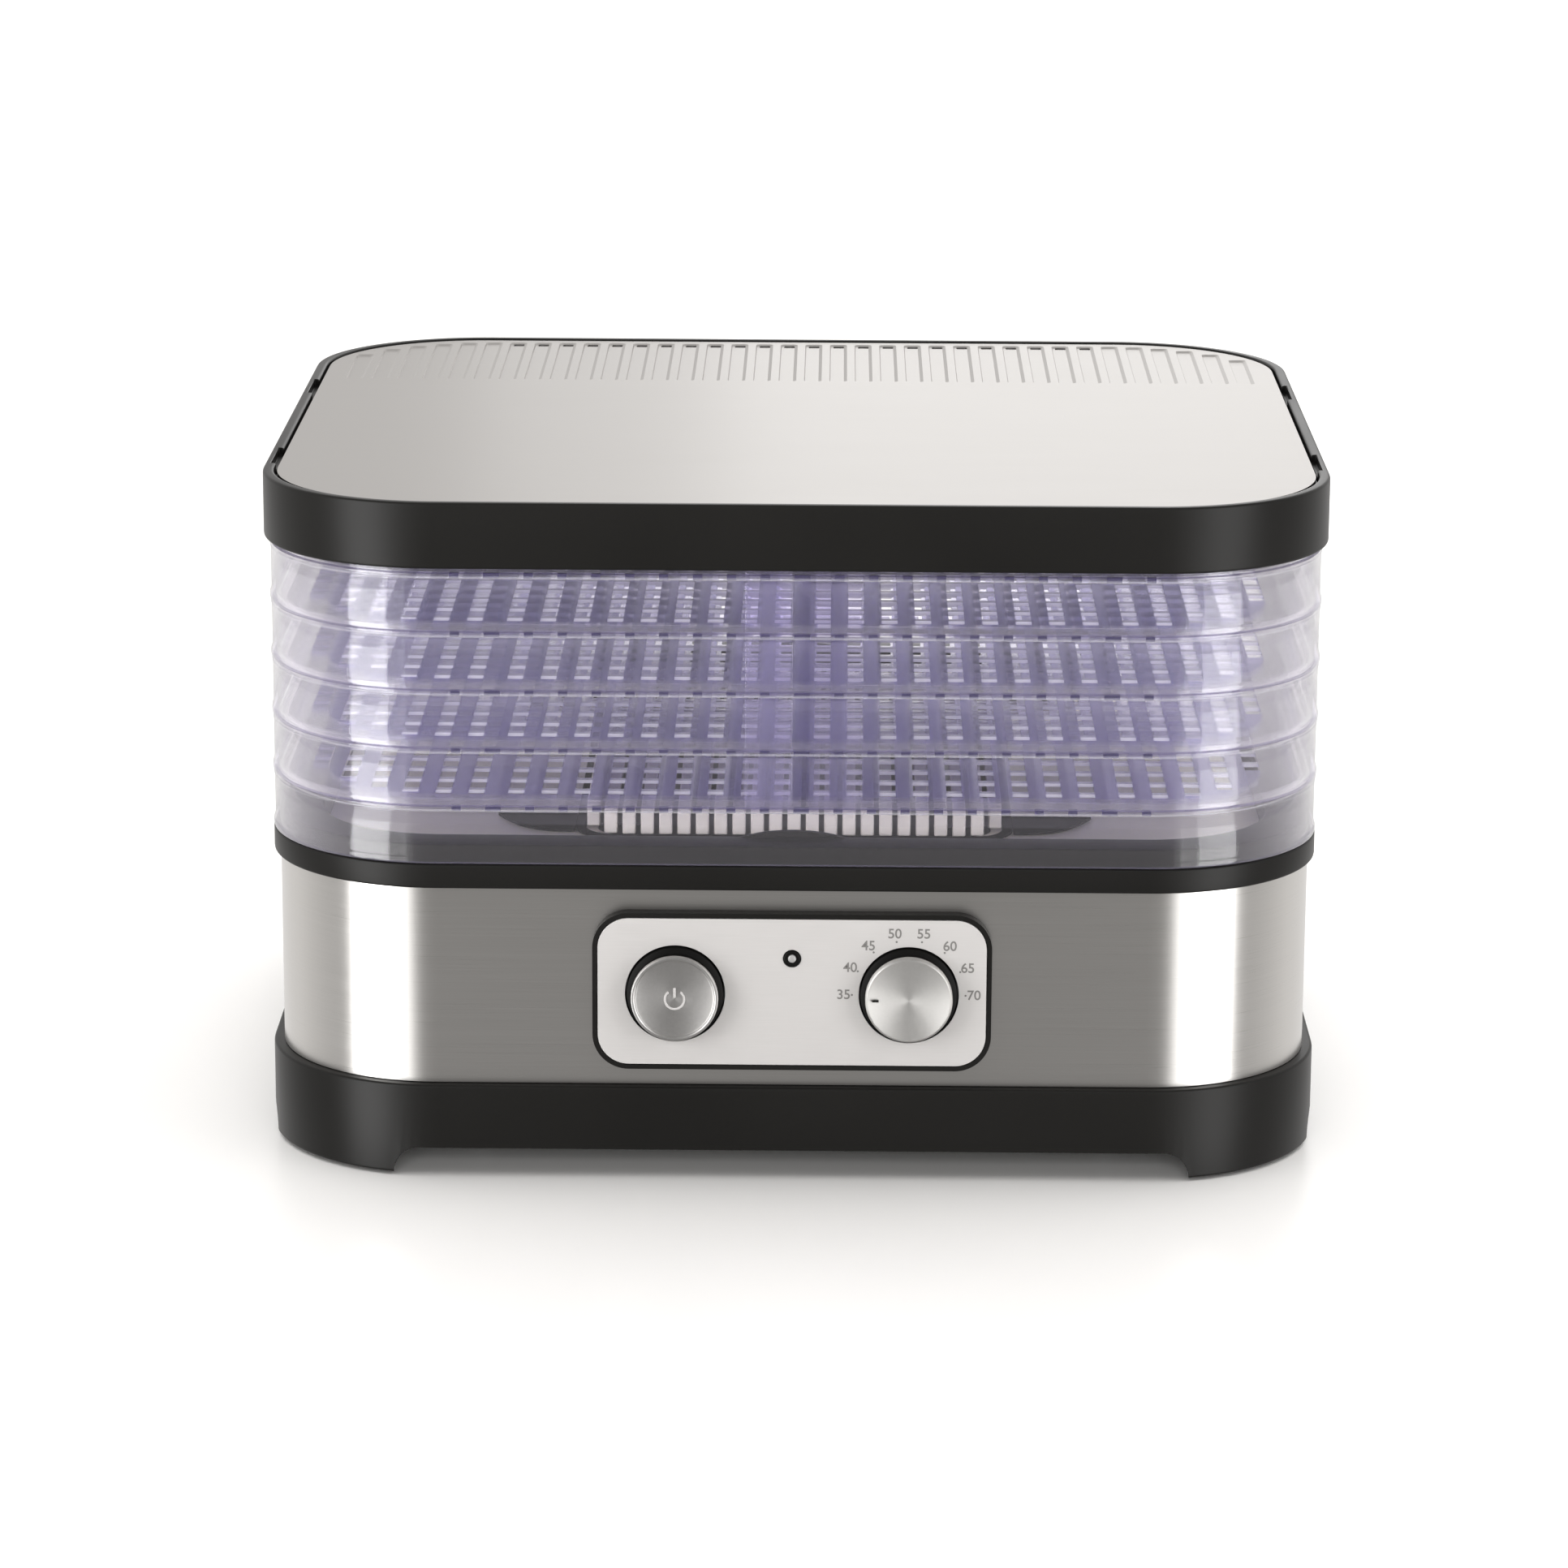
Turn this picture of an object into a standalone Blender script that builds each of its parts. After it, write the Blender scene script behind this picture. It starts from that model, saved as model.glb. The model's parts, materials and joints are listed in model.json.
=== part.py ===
"""Rectangular food dehydrator: a heated fan base, five clear stacking trays and a steel-topped lid.

Metres, +Z up. The origin is on the table under the middle of the casing, the controls face -Y.
"""
import math

import bmesh
import bpy

# Casing
WIDTH = 0.400
DEPTH = 0.352
CORNER_RADIUS = 0.068
CORNER_SEGMENTS = 6
BASE_TOP = 0.036
WRAP_TOP = 0.112
COLLAR_TOP = 0.1212
TRAY_PITCH = 0.022
TRAY_COUNT = 5
LID_HEIGHT = 0.025
LID_OVERLAP = 0.0008
GAP = 0.0003

# Insets from the widest outline, which is the lid's
BASE_INSET = 0.0005
WRAP_INSET = 0.0044
WRAP_THICKNESS = 0.0010
COLLAR_INSET = 0.0019
DECK_BORDER = 0.0210
BORDER_RISE = 0.0068
PLATE_INSET = 0.0054

# Base
FOOT_LENGTH = 0.051
ARCH_HEIGHT = 0.0115
FLOOR_BOTTOM = 0.0125
FLOOR_TOP = 0.0150
PAD_HEIGHT = 0.0035
PAD_RADIUS = 0.0085
BOSS_X = 0.160
BOSS_Y = 0.134
INTAKE_RADIUS = 0.058
POST_X = 0.120
POST_Y = 0.120
DECK_BOTTOM = 0.1168
DECK_THICKNESS = 0.0010
GRILLE_WIDTH = 0.158
GRILLE_DEPTH = 0.240
GRILLE_BARS = 21
GRILLE_BOTTOM = DECK_BOTTOM + DECK_THICKNESS + GAP
GRILLE_HEIGHT = 0.0104
GRILLE_WALL = 0.0028
SURROUND_HEIGHT = 0.0010
WING_ROOT = 0.0813
WING_REACH = 0.0327
WING_FRONT = 0.1140
WING_SWEEP = 0.0240
RIB_HALF_WIDTH = 0.0195
RIB_HEIGHT = 0.0026
RIB_THICKNESS = 0.0020
RIB_REACH = DEPTH / 2 - DECK_BORDER + 0.0002
GLAND_X = 0.120
GLAND_Z = 0.057

# Control panel
PANEL_WIDTH = 0.1483
PANEL_HEIGHT = 0.0603
PANEL_RADIUS = 0.0135
PANEL_CENTRE_Z = 0.0738
PANEL_BORDER = 0.0017
PANEL_FACE = 0.1769
PLATE_THICKNESS = 0.0010
CONTROL_SPACING = 0.0434
CONTROL_Z = 0.0731
CONTROL_HOLE_RADIUS = 0.0186
SKIRT_RADIUS = 0.0180
CAP_RADIUS = 0.0162
CAP_REACH = 0.0077
POINTER_PROUD = 0.0005
INDICATOR_Z = 0.0869
BRACKET_BACK = 0.1645
BRACKET_FRONT = 0.1660

# Fan and heater, on the vertical axis through the origin
SHAFT_RADIUS = 0.0025
FAN_RADIUS = 0.054
FAN_BLADES = 7
DUCT_RADIUS = 0.0575
HEATER_RADIUS = 0.041

# Trays and lid
LIP_INSET = 0.0019
WALL_INSET = 0.0025
WALL_THICKNESS = 0.0016
RIM_INSET = 0.0044
RIM_THICKNESS = 0.0016
RIM_END = RIM_INSET + RIM_THICKNESS
RIM_HEIGHT = 0.0026
MESH_TOP = TRAY_PITCH - 0.0005
MESH_THICKNESS = 0.0020
LEDGE_TOP = MESH_TOP - MESH_THICKNESS - GAP
LEDGE_END = RIM_END + 0.0025
LEDGE_THICKNESS = 0.0012
MESH_COLUMNS = 10
PILLAR_HEIGHT = TRAY_PITCH - MESH_THICKNESS - LEDGE_THICKNESS - 2 * GAP
PILLAR_INSET = LEDGE_END + 0.0005
PILLAR_DEPTH = 0.0060
RIGHT_PILLAR = (0.0154, 0.0192)
LEFT_PILLAR = (-0.0092, 0.0184)
VENT_COUNT = 36
VENT_HOLES = 24
VENT_PITCH = 0.0104
VENT_WIDTH = 0.0070
VENT_FRONT = 0.0865
VENT_MARGIN = 0.0085
VENT_DEPTH = 0.0012
SLIT_Y = 0.1525
TAB_PLACES = (-0.0880, 0.0580)
RIM_TOP = COLLAR_TOP + TRAY_COUNT * TRAY_PITCH + RIM_HEIGHT
LID_BOTTOM = RIM_TOP - LID_OVERLAP
LID_TOP = LID_BOTTOM + LID_HEIGHT
PLATE_TOP = LID_TOP - 0.0006
WEB_TOP = LID_TOP - 0.0040
WEB_BOTTOM = LID_TOP - 0.0058
TAB_X = WIDTH / 2 - PLATE_INSET - 0.0030

RIGHT_ANGLE = math.pi / 2
WELD_DISTANCE = 0.00001


def clear_scene():
    for scene_object in list(bpy.data.objects):
        bpy.data.objects.remove(scene_object)


def new_collection(name):
    collection = bpy.data.collections.new(name)
    bpy.context.scene.collection.children.link(collection)
    return collection


def new_material(name, colour, roughness, metallic=0.0, alpha=1.0):
    material = bpy.data.materials.new(name)
    material.use_nodes = True
    shader = material.node_tree.nodes["Principled BSDF"]
    shader.inputs["Base Color"].default_value = (*colour, 1.0)
    shader.inputs["Roughness"].default_value = roughness
    shader.inputs["Metallic"].default_value = metallic
    shader.inputs["Alpha"].default_value = alpha
    return material


clear_scene()
PARTS = new_collection("food_dehydrator")
CUTTERS = new_collection("cutters")
BLACK_PLASTIC = new_material("black_plastic", (0.020, 0.019, 0.018), 0.38)
BRUSHED_STEEL = new_material("brushed_steel", (0.62, 0.60, 0.57), 0.30, 1.0)
SATIN_PLATE = new_material("satin_plate", (0.66, 0.65, 0.63), 0.36, 1.0)
SPUN_ALUMINIUM = new_material("spun_aluminium", (0.70, 0.70, 0.69), 0.28, 1.0)
CLEAR_PLASTIC = new_material("clear_plastic", (0.72, 0.68, 0.92), 0.12, 0.0, 0.35)
LIGHT_PLASTIC = new_material("light_plastic", (0.72, 0.69, 0.66), 0.45)
DARK_METAL = new_material("dark_metal", (0.20, 0.20, 0.20), 0.45, 1.0)
ZINC_STEEL = new_material("zinc_steel", (0.55, 0.55, 0.54), 0.40, 1.0)
RUBBER = new_material("rubber", (0.030, 0.030, 0.030), 0.80)
MICA = new_material("mica", (0.45, 0.36, 0.24), 0.70)
PHENOLIC = new_material("phenolic", (0.10, 0.07, 0.05), 0.55)
LENS = new_material("lens", (0.75, 0.74, 0.72), 0.15, 0.0, 0.8)


# ---------------------------------------------------------------- outlines


def arc(centre_x, centre_y, radius, start_degrees, end_degrees, segments):
    step = math.radians(end_degrees - start_degrees) / segments
    start = math.radians(start_degrees)
    angles = [start + step * index for index in range(segments + 1)]
    return [(centre_x + radius * math.cos(a), centre_y + radius * math.sin(a)) for a in angles]


def rounded_rectangle(half_x, half_y, radius, segments, centre=(0.0, 0.0)):
    corners = ((1, 1, 0), (-1, 1, 90), (-1, -1, 180), (1, -1, 270))
    points = []
    for side_x, side_y, start in corners:
        corner_x = centre[0] + side_x * (half_x - radius)
        corner_y = centre[1] + side_y * (half_y - radius)
        points += arc(corner_x, corner_y, radius, start, start + 90, segments)
    return points


def casing_outline(inset):
    radius = CORNER_RADIUS - inset
    return rounded_rectangle(WIDTH / 2 - inset, DEPTH / 2 - inset, radius, CORNER_SEGMENTS)


def circle(radius, count, centre=(0.0, 0.0)):
    return arc(centre[0], centre[1], radius, 0, 360, count)[:-1]


def rectangle(half_x, half_y, centre=(0.0, 0.0)):
    signs = ((1, 1), (-1, 1), (-1, -1), (1, -1))
    return [(centre[0] + sx * half_x, centre[1] + sy * half_y) for sx, sy in signs]


# ---------------------------------------------------------------- solids


def add_spline(curve, points):
    spline = curve.splines.new("POLY")
    spline.points.add(len(points) - 1)
    for point, (x, y) in zip(spline.points, points):
        point.co = (x, y, 0.0, 1.0)
    spline.use_cyclic_u = True


def mesh_from_curve(name, curve, offset_z=0.0):
    """Turn a curve into a welded mesh object and remove the curve."""
    guide = bpy.data.objects.new(name + "_curve", curve)
    bpy.context.scene.collection.objects.link(guide)
    evaluated = guide.evaluated_get(bpy.context.evaluated_depsgraph_get())
    mesh = bpy.data.meshes.new_from_object(evaluated)
    bpy.data.objects.remove(guide)
    welded = bmesh.new()
    welded.from_mesh(mesh)
    bmesh.ops.translate(welded, verts=welded.verts, vec=(0.0, 0.0, offset_z))
    bmesh.ops.remove_doubles(welded, verts=welded.verts, dist=WELD_DISTANCE)
    bmesh.ops.recalc_face_normals(welded, faces=welded.faces)
    welded.to_mesh(mesh)
    welded.free()
    return new_solid(name, mesh)


def new_solid(name, mesh):
    mesh.name = name
    solid = bpy.data.objects.new(name, mesh)
    PARTS.objects.link(solid)
    return solid


def finish(solid, material, smooth_degrees=35):
    solid.data.materials.clear()
    solid.data.materials.append(material)
    solid.data.shade_smooth()
    solid.data.set_sharp_from_angle(angle=math.radians(smooth_degrees))
    return solid


def flat_solid(name, outlines, low, high):
    """Extrude an outline from low to high; any further outlines are holes in it."""
    curve = bpy.data.curves.new(name, "CURVE")
    curve.dimensions = "2D"
    curve.fill_mode = "BOTH"
    curve.extrude = (high - low) / 2
    for outline in outlines:
        add_spline(curve, outline)
    return mesh_from_curve(name, curve, (low + high) / 2)


def swept_ring(name, section):
    """Run a section of (inset, height) points around the casing outline."""
    profile = bpy.data.curves.new(name + "_section", "CURVE")
    profile.dimensions = "2D"
    add_spline(profile, section)
    profile_object = bpy.data.objects.new(name + "_section", profile)
    bpy.context.scene.collection.objects.link(profile_object)
    curve = bpy.data.curves.new(name, "CURVE")
    curve.dimensions = "2D"
    curve.bevel_mode = "OBJECT"
    curve.bevel_object = profile_object
    add_spline(curve, casing_outline(0.0))
    solid = mesh_from_curve(name, curve)
    bpy.data.objects.remove(profile_object)
    return solid


def turned_solid(name, profile, steps=24):
    """Turn a profile of (radius, height) points, listed down its outer side, about Z."""
    mesh = bpy.data.meshes.new(name)
    outline = bmesh.new()
    vertices = [outline.verts.new((radius, 0.0, height)) for radius, height in profile]
    for first, second in zip(vertices, vertices[1:]):
        outline.edges.new((first, second))
    if profile[0][0] > 0.0:
        outline.edges.new((vertices[-1], vertices[0]))
    outline.to_mesh(mesh)
    outline.free()
    solid = new_solid(name, mesh)
    screw = solid.modifiers.new("turn", "SCREW")
    screw.steps = steps
    screw.render_steps = steps
    screw.use_merge_vertices = True
    screw.merge_threshold = 0.00005
    screw.use_smooth_shade = True
    return solid


def block(name, size, centre):
    mesh = bpy.data.meshes.new(name)
    cube = bmesh.new()
    bmesh.ops.create_cube(cube, size=1.0)
    bmesh.ops.scale(cube, vec=size, verts=cube.verts)
    cube.to_mesh(mesh)
    cube.free()
    solid = new_solid(name, mesh)
    solid.location = centre
    return solid


def rod(name, radius, length, centre, rotation=(0.0, 0.0, 0.0), sides=16):
    mesh = bpy.data.meshes.new(name)
    cylinder = bmesh.new()
    bmesh.ops.create_cone(
        cylinder, cap_ends=True, segments=sides, radius1=radius, radius2=radius, depth=length
    )
    cylinder.to_mesh(mesh)
    cylinder.free()
    solid = new_solid(name, mesh)
    solid.location = centre
    solid.rotation_euler = rotation
    return solid


def make_tool(solid):
    PARTS.objects.unlink(solid)
    CUTTERS.objects.link(solid)
    solid.hide_render = True
    solid.display_type = "WIRE"


def combine(solid, tool, operation):
    make_tool(tool)
    boolean = solid.modifiers.new(operation.lower(), "BOOLEAN")
    boolean.operation = operation
    boolean.solver = "EXACT"
    boolean.object = tool


def cut(solid, *cutters):
    for cutter in cutters:
        combine(solid, cutter, "DIFFERENCE")


def join(solid, *additions):
    for addition in additions:
        combine(solid, addition, "UNION")


def face_front(solid, x, reach, z):
    """Stand a solid that was made along +Z so that it points out of the front, its base at reach."""
    solid.rotation_euler = (RIGHT_ANGLE, 0.0, 0.0)
    solid.location = (x, -reach, z)


def four_corners(x, y):
    return [(sx * x, sy * y) for sy in (-1, 1) for sx in (-1, 1)]


# ---------------------------------------------------------------- base casing


def make_bottom_housing():
    wall = 0.0030
    shelf_end = WRAP_INSET + WRAP_THICKNESS + 0.0006
    rib_end = shelf_end + 0.0025
    section = [
        (BASE_INSET, 0.0012),
        (BASE_INSET, BASE_TOP - 0.0008),
        (BASE_INSET + 0.0008, BASE_TOP),
        (shelf_end, BASE_TOP),
        (shelf_end, BASE_TOP + 0.0100),
        (rib_end, BASE_TOP + 0.0100),
        (rib_end, BASE_TOP - 0.0025),
        (BASE_INSET + wall, BASE_TOP - 0.0025),
        (BASE_INSET + wall, 0.0012),
    ]
    housing = swept_ring("bottom_housing", section)
    holes = [circle(INTAKE_RADIUS, 24)]
    holes += [circle(0.0020, 8, place) for place in four_corners(POST_X, POST_Y)]
    floor_outline = casing_outline(BASE_INSET + wall / 2)
    join(housing, flat_solid("floor", [floor_outline, *holes], FLOOR_BOTTOM, FLOOR_TOP))
    boss_low = PAD_HEIGHT + GAP
    boss_high = FLOOR_BOTTOM + 0.0010
    boss_middle = (boss_low + boss_high) / 2
    for x, y in four_corners(BOSS_X, BOSS_Y):
        join(housing, rod("boss", PAD_RADIUS, boss_high - boss_low, (x, y, boss_middle), sides=12))
    front_half = WIDTH / 2 - FOOT_LENGTH
    side_half = DEPTH / 2 - FOOT_LENGTH
    front_arch = flat_solid(
        "front_arch", [rounded_rectangle(front_half, ARCH_HEIGHT, 0.010, 4)], -0.2, 0.2
    )
    front_arch.rotation_euler = (RIGHT_ANGLE, 0.0, 0.0)
    side_arch = flat_solid(
        "side_arch", [rounded_rectangle(side_half, ARCH_HEIGHT, 0.010, 4)], -0.25, 0.25
    )
    side_arch.rotation_euler = (RIGHT_ANGLE, 0.0, RIGHT_ANGLE)
    cut(housing, front_arch, side_arch)
    finish(housing, BLACK_PLASTIC)


def make_foot_pads():
    profile = [
        (0.0, PAD_HEIGHT),
        (PAD_RADIUS, PAD_HEIGHT),
        (PAD_RADIUS, 0.0008),
        (PAD_RADIUS - 0.0008, 0.0),
        (0.0, 0.0),
    ]
    for number, (x, y) in enumerate(four_corners(BOSS_X, BOSS_Y), start=1):
        pad = turned_solid(f"foot_pad_{number}", profile, 12)
        pad.location = (x, y, 0.0)
        finish(pad, RUBBER)


def make_base_screws():
    head_top = FLOOR_BOTTOM - GAP
    profile = [
        (0.0, 0.0160),
        (0.0015, 0.0150),
        (0.0015, 0.0),
        (0.0035, 0.0),
        (0.0035, -0.0012),
        (0.0025, -0.0020),
        (0.0, -0.0020),
    ]
    for number, (x, y) in enumerate(four_corners(POST_X, POST_Y), start=1):
        screw = turned_solid(f"base_screw_{number}", profile, 10)
        screw.location = (x, y, head_top)
        finish(screw, ZINC_STEEL)


def make_intake_grille():
    slot_count = 11
    slot_pitch = 0.0098
    rim = 0.0120
    outer_radius = INTAKE_RADIUS + 0.0060
    slots = []
    for index in range(slot_count):
        x = (index - (slot_count - 1) / 2) * slot_pitch
        half_length = math.sqrt((outer_radius - rim / 2) ** 2 - x * x) - rim / 2
        slots.append(rectangle(0.0029, half_length, (x, 0.0)))
    outlines = [circle(outer_radius, 24), *slots]
    grille = flat_solid("intake_grille", outlines, FLOOR_TOP + GAP, FLOOR_TOP + GAP + 0.0020)
    finish(grille, BLACK_PLASTIC)


def make_steel_wrap():
    outlines = [casing_outline(WRAP_INSET), casing_outline(WRAP_INSET + WRAP_THICKNESS)]
    wrap = flat_solid("steel_wrap", outlines, BASE_TOP + GAP, WRAP_TOP - GAP)
    window = block("control_window", (0.138, 0.020, 0.050), (0.0, -DEPTH / 2, PANEL_CENTRE_Z))
    cord_hole = rod("cord_hole", 0.0088, 0.03, (GLAND_X, DEPTH / 2, GLAND_Z), (RIGHT_ANGLE, 0, 0), 20)
    cut(wrap, window, cord_hole)
    finish(wrap, BRUSHED_STEEL)


def make_upper_housing():
    seat = COLLAR_TOP
    border_top = seat + BORDER_RISE
    ledge_top = DECK_BOTTOM - GAP
    ledge_bottom = ledge_top - 0.0025
    skirt_outer = WRAP_INSET + WRAP_THICKNESS + 0.0006
    skirt_inner = skirt_outer + 0.0025
    section = [
        (COLLAR_INSET + 0.0008, WRAP_TOP),
        (COLLAR_INSET, WRAP_TOP + 0.0008),
        (COLLAR_INSET, seat - 0.0008),
        (COLLAR_INSET + 0.0008, seat),
        (0.0046, seat),
        (0.0050, border_top - 0.0006),
        (0.0056, border_top),
        (DECK_BORDER - 0.0010, border_top),
        (DECK_BORDER, border_top - 0.0010),
        (DECK_BORDER, ledge_top),
        (DECK_BORDER + 0.0090, ledge_top),
        (DECK_BORDER + 0.0090, ledge_bottom),
        (DECK_BORDER - 0.0024, ledge_bottom),
        (DECK_BORDER - 0.0024, border_top - 0.0025),
        (skirt_inner, border_top - 0.0025),
        (skirt_inner, WRAP_TOP - 0.0120),
        (skirt_outer, WRAP_TOP - 0.0120),
        (skirt_outer, WRAP_TOP),
    ]
    housing = swept_ring("upper_housing", section)
    for x, y in four_corners(POST_X, POST_Y):
        post_outlines = [circle(0.0045, 12, (x, y)), circle(0.0018, 8, (x, y))]
        join(housing, flat_solid("post", post_outlines, FLOOR_TOP + GAP, ledge_bottom + 0.0008))
        arm_end = DEPTH / 2 - DECK_BORDER - 0.0030
        arm_centre = (x, math.copysign((POST_Y + arm_end) / 2, y), ledge_bottom + 0.0011)
        join(housing, block("post_arm", (0.007, arm_end - POST_Y, 0.0018), arm_centre))
    for reach in (RIB_REACH, -RIB_REACH - RIB_THICKNESS):
        join(housing, locating_rib(reach, border_top))
    finish(housing, BLACK_PLASTIC)


def locating_rib(reach, border_top):
    """A low arched rib that stands on the border's inner edge, in the middle of the front or back."""
    rise = RIB_HEIGHT + 0.0010
    radius = (RIB_HALF_WIDTH**2 + rise**2) / (2 * rise)
    half_angle = math.degrees(math.asin(RIB_HALF_WIDTH / radius))
    outline = arc(0.0, RIB_HEIGHT - radius, radius, 90 - half_angle, 90 + half_angle, 10)
    rib = flat_solid("locating_rib", [outline], 0.0, RIB_THICKNESS)
    face_front(rib, 0.0, reach, border_top)
    return rib


def make_deck_plate():
    window = rounded_rectangle(GRILLE_WIDTH / 2 - 0.004, GRILLE_DEPTH / 2 - 0.004, 0.010, 3)
    outlines = [casing_outline(DECK_BORDER + GAP), window]
    deck = flat_solid("deck_plate", outlines, DECK_BOTTOM, DECK_BOTTOM + DECK_THICKNESS)
    finish(deck, BRUSHED_STEEL)


def make_outlet_grille():
    """A low open-bottomed box of bars that run front to back and turn down at both ends."""
    half_x = GRILLE_WIDTH / 2
    half_y = GRILLE_DEPTH / 2
    top = GRILLE_BOTTOM + GRILLE_HEIGHT
    grille = flat_solid("outlet_grille", [rounded_rectangle(half_x, half_y, 0.012, 4)], GRILLE_BOTTOM, top)
    hollow_outline = rounded_rectangle(half_x - GRILLE_WALL, half_y - GRILLE_WALL, 0.009, 4)
    cut(grille, flat_solid("grille_hollow", [hollow_outline], GRILLE_BOTTOM - 0.01, top - GRILLE_WALL))
    slot_count = GRILLE_BARS + 1
    slot_pitch = (GRILLE_WIDTH - 0.016) / slot_count
    slots = []
    for index in range(slot_count):
        x = (index - (slot_count - 1) / 2) * slot_pitch
        slots.append(rectangle(slot_pitch * 0.24, half_y + 0.01, (x, 0.0)))
    cut(grille, flat_solid("grille_slots", slots, GRILLE_BOTTOM + 0.0020, top + 0.01))
    finish(grille, LIGHT_PLASTIC)


def wing_outline(side_x, side_y):
    """A tapered wing that sweeps out flat from beside a corner of the outlet."""
    steps = 6
    points = []
    for index in range(steps + 1):
        share = index / steps
        x = WING_ROOT + WING_REACH * share
        points.append((side_x * x, side_y * (WING_FRONT - WING_SWEEP * share**3)))
    points.append((side_x * WING_ROOT, side_y * (WING_FRONT - WING_SWEEP)))
    return points


def make_outlet_surround():
    inner_x = GRILLE_WIDTH / 2 + GAP
    inner_y = GRILLE_DEPTH / 2 + GAP
    outlines = [
        rounded_rectangle(inner_x + 0.004, inner_y + 0.004, 0.016, 4),
        rounded_rectangle(inner_x, inner_y, 0.012, 4),
    ]
    top = GRILLE_BOTTOM + SURROUND_HEIGHT
    surround = flat_solid("outlet_surround", outlines, GRILLE_BOTTOM, top)
    for side_x, side_y in four_corners(1, 1):
        join(surround, flat_solid("wing", [wing_outline(side_x, side_y)], GRILLE_BOTTOM, top))
    finish(surround, BLACK_PLASTIC)


def make_cord_gland():
    reach_out = PANEL_FACE + CAP_REACH + POINTER_PROUD - (DEPTH / 2 - WRAP_INSET)
    profile = [
        (0.0034, reach_out),
        (0.0050, reach_out),
        (0.0068, 0.0026),
        (0.0110, 0.0024),
        (0.0110, GAP),
        (0.0082, GAP),
        (0.0082, -0.0060),
        (0.0034, -0.0060),
    ]
    gland = turned_solid("cord_gland", profile, 20)
    gland.rotation_euler = (-RIGHT_ANGLE, 0.0, 0.0)
    gland.location = (GLAND_X, DEPTH / 2 - WRAP_INSET, GLAND_Z)
    finish(gland, BLACK_PLASTIC)


# ---------------------------------------------------------------- control panel


def make_panel_gasket():
    back = DEPTH / 2 - WRAP_INSET + GAP
    depth = PANEL_FACE - back
    outer = rounded_rectangle(PANEL_WIDTH / 2, PANEL_HEIGHT / 2, PANEL_RADIUS, 6)
    control_offset = CONTROL_Z - PANEL_CENTRE_Z
    holes = [circle(CONTROL_HOLE_RADIUS, 24, (side * CONTROL_SPACING, control_offset)) for side in (-1, 1)]
    holes.append(circle(0.0034, 12, (0.0, INDICATOR_Z - PANEL_CENTRE_Z)))
    gasket = flat_solid("panel_gasket", [outer, *holes], 0.0, depth)
    face_front(gasket, 0.0, back, PANEL_CENTRE_Z)
    inner_radius = PANEL_RADIUS - PANEL_BORDER
    pocket_outline = rounded_rectangle(
        PANEL_WIDTH / 2 - PANEL_BORDER, PANEL_HEIGHT / 2 - PANEL_BORDER, inner_radius, 6
    )
    pocket = flat_solid("panel_pocket", [pocket_outline], depth - PLATE_THICKNESS - GAP, depth + 0.01)
    face_front(pocket, 0.0, back, PANEL_CENTRE_Z)
    cut(gasket, pocket)
    finish(gasket, BLACK_PLASTIC)


def make_panel_plate():
    inset = PANEL_BORDER + GAP
    outer = rounded_rectangle(
        PANEL_WIDTH / 2 - inset, PANEL_HEIGHT / 2 - inset, PANEL_RADIUS - inset, 6
    )
    control_offset = CONTROL_Z - PANEL_CENTRE_Z
    holes = [circle(CONTROL_HOLE_RADIUS, 24, (side * CONTROL_SPACING, control_offset)) for side in (-1, 1)]
    holes.append(circle(0.0034, 12, (0.0, INDICATOR_Z - PANEL_CENTRE_Z)))
    plate = flat_solid("panel_plate", [outer, *holes], 0.0, PLATE_THICKNESS)
    face_front(plate, 0.0, PANEL_FACE - PLATE_THICKNESS, PANEL_CENTRE_Z)
    finish(plate, SATIN_PLATE)


def make_panel_bracket():
    outer = rounded_rectangle(0.066, 0.024, 0.004, 2)
    control_offset = CONTROL_Z - PANEL_CENTRE_Z
    holes = [circle(0.0036, 12, (side * CONTROL_SPACING, control_offset)) for side in (-1, 1)]
    holes.append(circle(0.0030, 12, (0.0, INDICATOR_Z - PANEL_CENTRE_Z)))
    bracket = flat_solid("panel_bracket", [outer, *holes], 0.0, BRACKET_FRONT - BRACKET_BACK)
    face_front(bracket, 0.0, BRACKET_BACK, PANEL_CENTRE_Z)
    finish(bracket, ZINC_STEEL)


def make_control_cap(name, x):
    """Metal face of a control: a dished disc on a stem, measured from the panel's face."""
    dish = 0.0007
    profile = [
        (0.0, CAP_REACH - dish),
        (0.0080, CAP_REACH - dish * 0.75),
        (0.0146, CAP_REACH - dish * 0.1),
        (0.0152, CAP_REACH),
        (0.0157, CAP_REACH),
        (CAP_RADIUS, CAP_REACH - 0.0006),
        (CAP_RADIUS, 0.0015),
        (0.0042, 0.0015),
        (0.0042, -0.0020),
        (0.0, -0.0020),
    ]
    cap = turned_solid(name, profile, 24)
    face_front(cap, x, PANEL_FACE, CONTROL_Z)
    finish(cap, SPUN_ALUMINIUM)


def make_control_skirt(name, x, back):
    profile = [
        (0.0045, 0.0012),
        (SKIRT_RADIUS - 0.0005, 0.0012),
        (SKIRT_RADIUS, 0.0007),
        (SKIRT_RADIUS, -back),
        (0.0033, -back),
        (0.0033, -0.0023),
        (0.0045, -0.0023),
    ]
    skirt = turned_solid(name, profile, 24)
    face_front(skirt, x, PANEL_FACE, CONTROL_Z)
    finish(skirt, BLACK_PLASTIC)


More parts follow.
